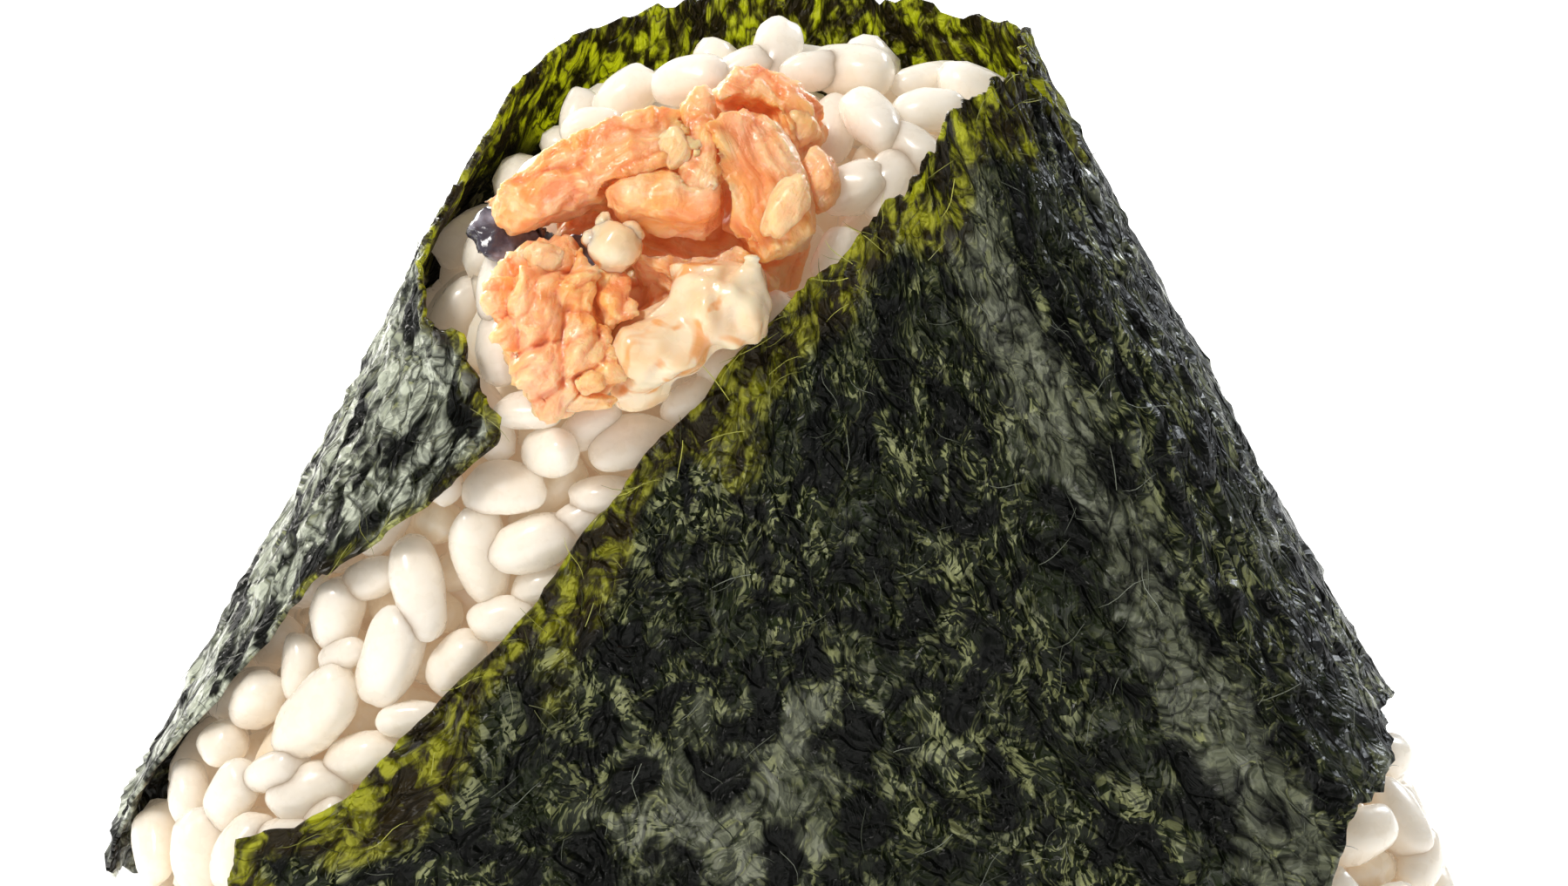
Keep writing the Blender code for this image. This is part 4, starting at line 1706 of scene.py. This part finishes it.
@dataclass
class Flake:
    """How one piece of cooked salmon is grown from its solid.

    Args:
        node: name of the solid.
        lump: width of its lumps.
        crack: depth of the cracks between them.
        swell: height of the smaller lumps.
        rough: height of the fine roughness.
        size: how much of the solid's size it has, across and up.
        shift: how far it is moved across and up, in millimetres.
        strand: height of the strands.
        lean: degrees by which the strands lean up from the right.
        face: share of its depth in front beyond which it is pressed flat.
    """

    node: str
    lump: float = 0.0030
    crack: float = 0.0005
    swell: float = 0.0004
    rough: float = 0.00030
    size: tuple[float, float] = (1.0, 1.0)
    shift: tuple[float, float] = (0.0, 0.0)
    strand: float = 0.00010
    lean: float = 60.0
    face: float = 1.0


@dataclass
class Filling:
    """Salmon, its skin and the mayonnaise, each grown from the model's solids."""

    salmon: SalmonFinish
    skin: SkinFinish
    mayonnaise: MayonnaiseFinish
    voxel: float = 0.00028
    skin_voxel: float = 0.0002
    sauce_voxel: float = 0.00025
    peak_from: float = 0.0550
    peak_pressed: float = 0.66
    fibre: float = 0.14
    noise: Noise = field(default_factory=lambda: Noise(41))
    flakes: tuple[Flake, ...] = (
        Flake("salmon_long", 0.0042, 0.0004, 0.0003, size=(0.79, 0.60), shift=(1.0, -0.7), lean=24),
        Flake("salmon_back", 0.0028, 0.0004, size=(0.72, 0.74), shift=(-0.9, -1.2), lean=-40),
        Flake("salmon_broad", 0.0060, 0.0002, 0.0001, 0.0001, (0.80, 0.72), (-0.6, -0.9), 0.0002,
              -66, 0.45),
        Flake("salmon_strip", 0.0034, 0.0003, size=(0.85, 0.9), shift=(0.4, -0.5), lean=72),
        Flake("salmon_boat", 0.0046, 0.0003, size=(0.76, 0.80), shift=(0.5, 0.2), lean=-6, face=0.7),
        Flake("salmon_ledge", 0.0046, 0.0002, size=(1.05, 1.2), shift=(0.3, -0.9), lean=-14, face=0.5),
        Flake("salmon_sliver", 0.0024, 0.0003, size=(0.75, 0.75), shift=(0.1, -0.9), lean=64),
        Flake("salmon_crumbly", 0.0021, 0.0010, 0.0007, 0.0005, (0.88, 0.92), (0.3, 0.2), 0.0002, 58),
        Flake("salmon_bed", 0.0024, 0.0006, 0.0005, 0.0003, (0.74, 0.70), (0.3, -1.9), lean=40),
    )

    @staticmethod
    def fitted(piece: bpy.types.Object, flake: Flake) -> None:
        """Scales and shifts a piece across and up, square to the line of sight.

        Args:
            piece: the piece.
            flake: its size, shift and flat face.
        """
        places = places_of(piece)
        middle = (places.min(0) + places.max(0)) / 2
        part = places - middle
        across = part[:, 0] * flake.size[0] + flake.shift[0] * MM
        up = (part @ UP) * flake.size[1] + flake.shift[1] * MM
        away = (part @ AWAY) * 0.9
        face = -flake.face * np.abs(away).max()
        away = np.where(away < face, face + (away - face) * 0.2, away)
        put_places(piece, middle + across[:, None] * ACROSS + up[:, None] * UP
                   + away[:, None] * AWAY)

    @staticmethod
    def squeezed(places: np.ndarray, lean: float, keep: float) -> np.ndarray:
        """Places squeezed along the strands, so that patterns on them run that way.

        Args:
            places: N by 3 places.
            lean: degrees by which the strands lean up from the right.
            keep: share of a length along them that stays.

        Returns:
            N by 3 squeezed places.
        """
        way = math.cos(math.radians(lean)) * ACROSS + math.sin(math.radians(lean)) * UP
        return places - (1 - keep) * (places @ way)[:, None] * way

    def roughen(self, piece: bpy.types.Object, flake: Flake) -> None:
        """Breaks a smooth solid into lumps with cracks, and stores where they are, for the painted
        shade in the cracks and the painted highlight on the lumps.

        Args:
            piece: the piece.
            flake: its roughness.
        """
        places, normals = places_of(piece), normals_of(piece)
        warp = self.noise.drift(places, 0.0030, 1) * 0.0012
        long = self.squeezed(places + warp, flake.lean, 0.65)
        near, second = self.noise.cells(long, flake.lump)
        close, _ = self.noise.cells(long + 0.01, flake.lump * 0.42)
        fine = self.noise.rough(places + warp, 0.0012, 3)
        lumps, crumbs = 0.9 - near**2 * 1.3, 0.9 - close**2 * 1.3
        along = self.squeezed(places + warp * 0.5, flake.lean, self.fibre)
        move = (flake.crack * 1.5 * (lumps - 0.4) + flake.swell * 0.5 * (crumbs - 0.4)
                + flake.rough * 0.9 * fine + flake.strand * self.noise.rough(along, 0.0007, 2))
        put_places(piece, places + normals * move[:, None])
        put_attribute(piece, "along", along)
        # Masks for the painted shade in the cracks and the painted highlight on the lump tops.
        put_attribute(piece, "crease", np.clip(1.0 - (second - near) * 5.0 - lumps * 0.4, 0, 1))
        put_attribute(piece, "ridge", np.clip((lumps - 0.5) * 1.0 + (crumbs - 0.5) * 0.6, 0, 1))

    def make_flakes(self) -> list[bpy.types.Object]:
        """Builds and dresses every piece of salmon.

        Returns:
            The flakes and the bed.
        """
        finish = self.salmon.make("salmon")
        made = []
        for flake in self.flakes:
            piece = grown_from(f"{flake.node}_flesh", flake.node, self.voxel)
            self.fitted(piece, flake)
            self.roughen(piece, flake)
            piece.data.materials.append(finish)
            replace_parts(piece, flake.node)
            made.append(piece)
        return made

    def make_skin(self) -> bpy.types.Object:
        """Builds and dresses the crumpled strip of skin.

        Returns:
            The finished piece.
        """
        piece = grown_from("salmon_skin_strip", "salmon_skin", self.skin_voxel)
        self.fitted(piece, Flake("salmon_skin", size=(0.92, 1.2), shift=(1.9, -0.1)))
        places, normals = places_of(piece), normals_of(piece)
        crumple = self.noise.drift(places, 0.0022, 4) * 0.0010
        fine = normals * (self.noise.rough(places, 0.0013, 3) * 0.00045)[:, None]
        put_places(piece, places + crumple + fine)
        piece.data.materials.append(self.skin.make("salmon_skin"))
        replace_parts(piece, "salmon_skin")
        return piece

    def make_mayonnaise(self) -> bpy.types.Object:
        """Builds and dresses the dollop of mayonnaise, its lobes run together.

        Returns:
            The finished piece.
        """
        piece = grown_from("mayonnaise_dollop", "mayonnaise", self.sauce_voxel)
        smooth = piece.modifiers.new("run", "SMOOTH")
        smooth.factor = 0.5
        smooth.iterations = 40
        made_plain(piece)
        places, normals = places_of(piece), normals_of(piece)
        warp = self.noise.drift(places, 0.0060, 7) * 0.0022
        move = 0.0002 + 0.0010 * self.noise.rough(places + warp, 0.0048, 3)
        places = places + normals * move[:, None]
        over = np.clip(places @ UP - self.peak_from, 0, None)
        put_places(piece, places - self.peak_pressed * over[:, None] * UP)
        piece.data.materials.append(self.mayonnaise.make("mayonnaise"))
        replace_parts(piece, "mayonnaise")
        return piece


@dataclass(frozen=True)
class Bit:
    """A loose bit of filling, in millimetres.

    Args:
        across: how far right its middle is.
        rise: how far up it is, square to the line of sight.
        near: how far towards the viewer it is.
        size: its half sizes across, in depth and up.
        seed: number that picks its lumps.
        lean: degrees by which its top leans to the right.
        pale: how pale it is, from 0 to 1.
    """

    across: float
    rise: float
    near: float
    size: tuple[float, float, float]
    seed: int
    lean: float = 0.0
    pale: float = 0.3


@dataclass
class LooseBits:
    """Bits too small for the model: a lump of cream and crumbs of salmon."""

    finish: bpy.types.Material
    name: str
    bits: tuple[Bit, ...]
    lumpy: float = 0.35
    noise: Noise = field(default_factory=lambda: Noise(61))

    def make(self) -> bpy.types.Object:
        """Builds and dresses the bits as one piece.

        Returns:
            The finished piece.
        """
        pale: list[float] = []
        bm = bmesh.new()
        for bit in self.bits:
            made = bmesh.ops.create_icosphere(bm, subdivisions=4, radius=1.0)["verts"]
            ball = np.array([tuple(v.co) for v in made])
            bulge = 1 + self.lumpy * self.noise.rough(ball + 3.3 * bit.seed, 1.1, 3)
            ball = ball * bulge[:, None] * np.array(bit.size) * MM
            ball = ball @ np.array(Matrix.Rotation(math.radians(bit.lean), 3, "Y")).T
            pale += [bit.pale] * len(made)
            middle = (ACROSS * bit.across + UP * bit.rise - AWAY * bit.near) * MM
            spots = middle + ball[:, :1] * ACROSS + ball[:, 1:2] * AWAY + ball[:, 2:] * UP
            for vert, spot in zip(made, spots):
                vert.co = spot
        mesh = bpy.data.meshes.new(self.name)
        bm.to_mesh(mesh)
        bm.free()
        mesh.shade_smooth()
        mesh.materials.append(self.finish)
        piece = linked(self.name, mesh)
        put_attribute(piece, "ridge", np.array(pale))
        put_attribute(piece, "crease", np.zeros(len(mesh.vertices)))
        put_attribute(piece, "along", Filling.squeezed(places_of(piece), 60, Filling.fibre))
        return piece


# ---------------------------------------------------------------- studio


@dataclass
class Studio:
    """Floor, lights and camera."""

    aim: tuple[float, float, float] = (0.0, -0.010, 0.0489)
    distance: float = 0.70
    frame_width: float = 0.104
    sensor_width: float = 36.0
    floor_half: float = 3.0

    def light(self, name: str, azimuth: float, elevation: float, distance: float,
              size: float, power: float, colour: tuple = (1.0, 1.0, 1.0)) -> None:
        """Adds a square soft light that faces the rice ball.

        Args:
            name: name of the light.
            azimuth: degrees round the object, 0 at the camera and 90 at the right.
            elevation: degrees above the table.
            distance: from the aim.
            size: side of the light.
            power: in watts.
            colour: its colour.
        """
        a, e = math.radians(azimuth), math.radians(elevation)
        way = Vector((math.sin(a) * math.cos(e), -math.cos(a) * math.cos(e), math.sin(e)))
        lamp = bpy.data.lights.new(name, "AREA")
        lamp.size, lamp.energy, lamp.color = size, power, colour
        made = linked(name, lamp)
        made.location = Vector(self.aim) + way * distance
        made.rotation_euler = (-way).to_track_quat("-Z", "Y").to_euler()

    def make(self) -> None:
        """Builds the studio."""
        scene = bpy.context.scene
        world = bpy.data.worlds.new("studio")
        world.use_nodes = True
        ground = world.node_tree.nodes["Background"].inputs
        ground["Color"].default_value = (0.95, 0.97, 1.0, 1)
        ground["Strength"].default_value = 0.24
        scene.world = world
        scene.view_settings.view_transform = "Standard"
        spots = self.floor_half * np.array([(-1, -1, 0), (1, -1, 0), (1, 1, 0), (-1, 1, 0)])
        floor = new_object("floor", spots, [(0, 1, 2, 3)], FloorFinish().make("floor"))
        floor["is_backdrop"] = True
        self.light("key_light", -48, 50, 0.60, 0.09, 2.9, (1.0, 0.97, 0.92))
        self.light("back_light", -146, 24, 0.60, 0.22, 3.4, (1.0, 0.97, 0.90))
        self.light("right_back_light", 138, 24, 0.60, 0.16, 2.2, (0.90, 0.95, 1.0))
        lens = bpy.data.cameras.new("camera")
        lens.sensor_width = self.sensor_width
        lens.lens = self.sensor_width * self.distance / self.frame_width
        lens.clip_start, lens.clip_end = 0.01, 20.0
        camera = linked("camera", lens)
        back = Vector((0, -math.cos(SIGHT), math.sin(SIGHT)))
        camera.location = Vector(self.aim) + back * self.distance
        camera.rotation_euler = (-back).to_track_quat("-Z", "Y").to_euler()
        scene.camera = camera


# ---------------------------------------------------------------- assembly


def dress(pieces: list[bpy.types.Object]) -> None:
    """Rides pieces on the body.

    Args:
        pieces: the finished pieces.
    """
    for piece in pieces:
        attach(piece, "root")
        log.info("%s: %d faces", piece.name, len(piece.data.polygons))


def corners() -> list[list[float]]:
    """The shown object's box, as plain lists."""
    return [list(corner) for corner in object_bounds()]


def main() -> None:
    """Builds every piece in order."""
    logging.basicConfig(level=logging.INFO, format="%(message)s")
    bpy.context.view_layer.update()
    Studio().make()

    sheet = NoriSheet(WrapForm(), NoriFinish()).make()
    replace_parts(sheet[0], "nori_sheet")
    dress(sheet)

    filling = Filling(SalmonFinish(), SkinFinish(), MayonnaiseFinish())
    flakes, skin, sauce = filling.make_flakes(), filling.make_skin(), filling.make_mayonnaise()
    dress(flakes)
    dress([skin])
    dress([sauce])
    cream = LooseBits(sauce.data.materials[0], "cream_lump", (
        Bit(-11.1, 56.3, 31.5, (1.8, 1.5, 1.7), 1), Bit(-12.3, 56.8, 31.3, (1.0, 0.9, 0.8), 2),
        Bit(-11.8, 57.9, 31.2, (0.6, 0.8, 0.7), 3), Bit(-10.1, 57.2, 31.2, (0.9, 0.9, 0.8), 4)), 0.16)
    dress([cream.make()])
    crumbs = LooseBits(flakes[0].data.materials[0], "salmon_crumbs", (
        Bit(-12.6, 47.4, 33.6, (1.0, 0.8, 0.8), 5), Bit(-13.2, 46.2, 32.6, (2.2, 1.0, 0.7), 6),
        Bit(1.0, 64.2, 27.6, (1.3, 1.2, 1.4), 7), Bit(2.4, 60.8, 28.6, (1.3, 1.4, 2.0), 8),
        Bit(-15.6, 55.6, 31.9, (1.4, 0.8, 1.0), 9), Bit(0.2, 59.0, 31.8, (1.3, 1.2, 2.4), 10, 28, 0.6),
        Bit(-7.3, 62.7, 31.2, (1.2, 1.0, 1.5), 11, 0, 0.5)), 0.25)
    dress([crumbs.make()])

    rice = Rice(sheet[0], [*flakes, skin, sauce], RiceFinish()).make()
    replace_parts(rice[0], Slot.RICE.value)
    dress(rice)


if __name__ == "__main__":
    main()
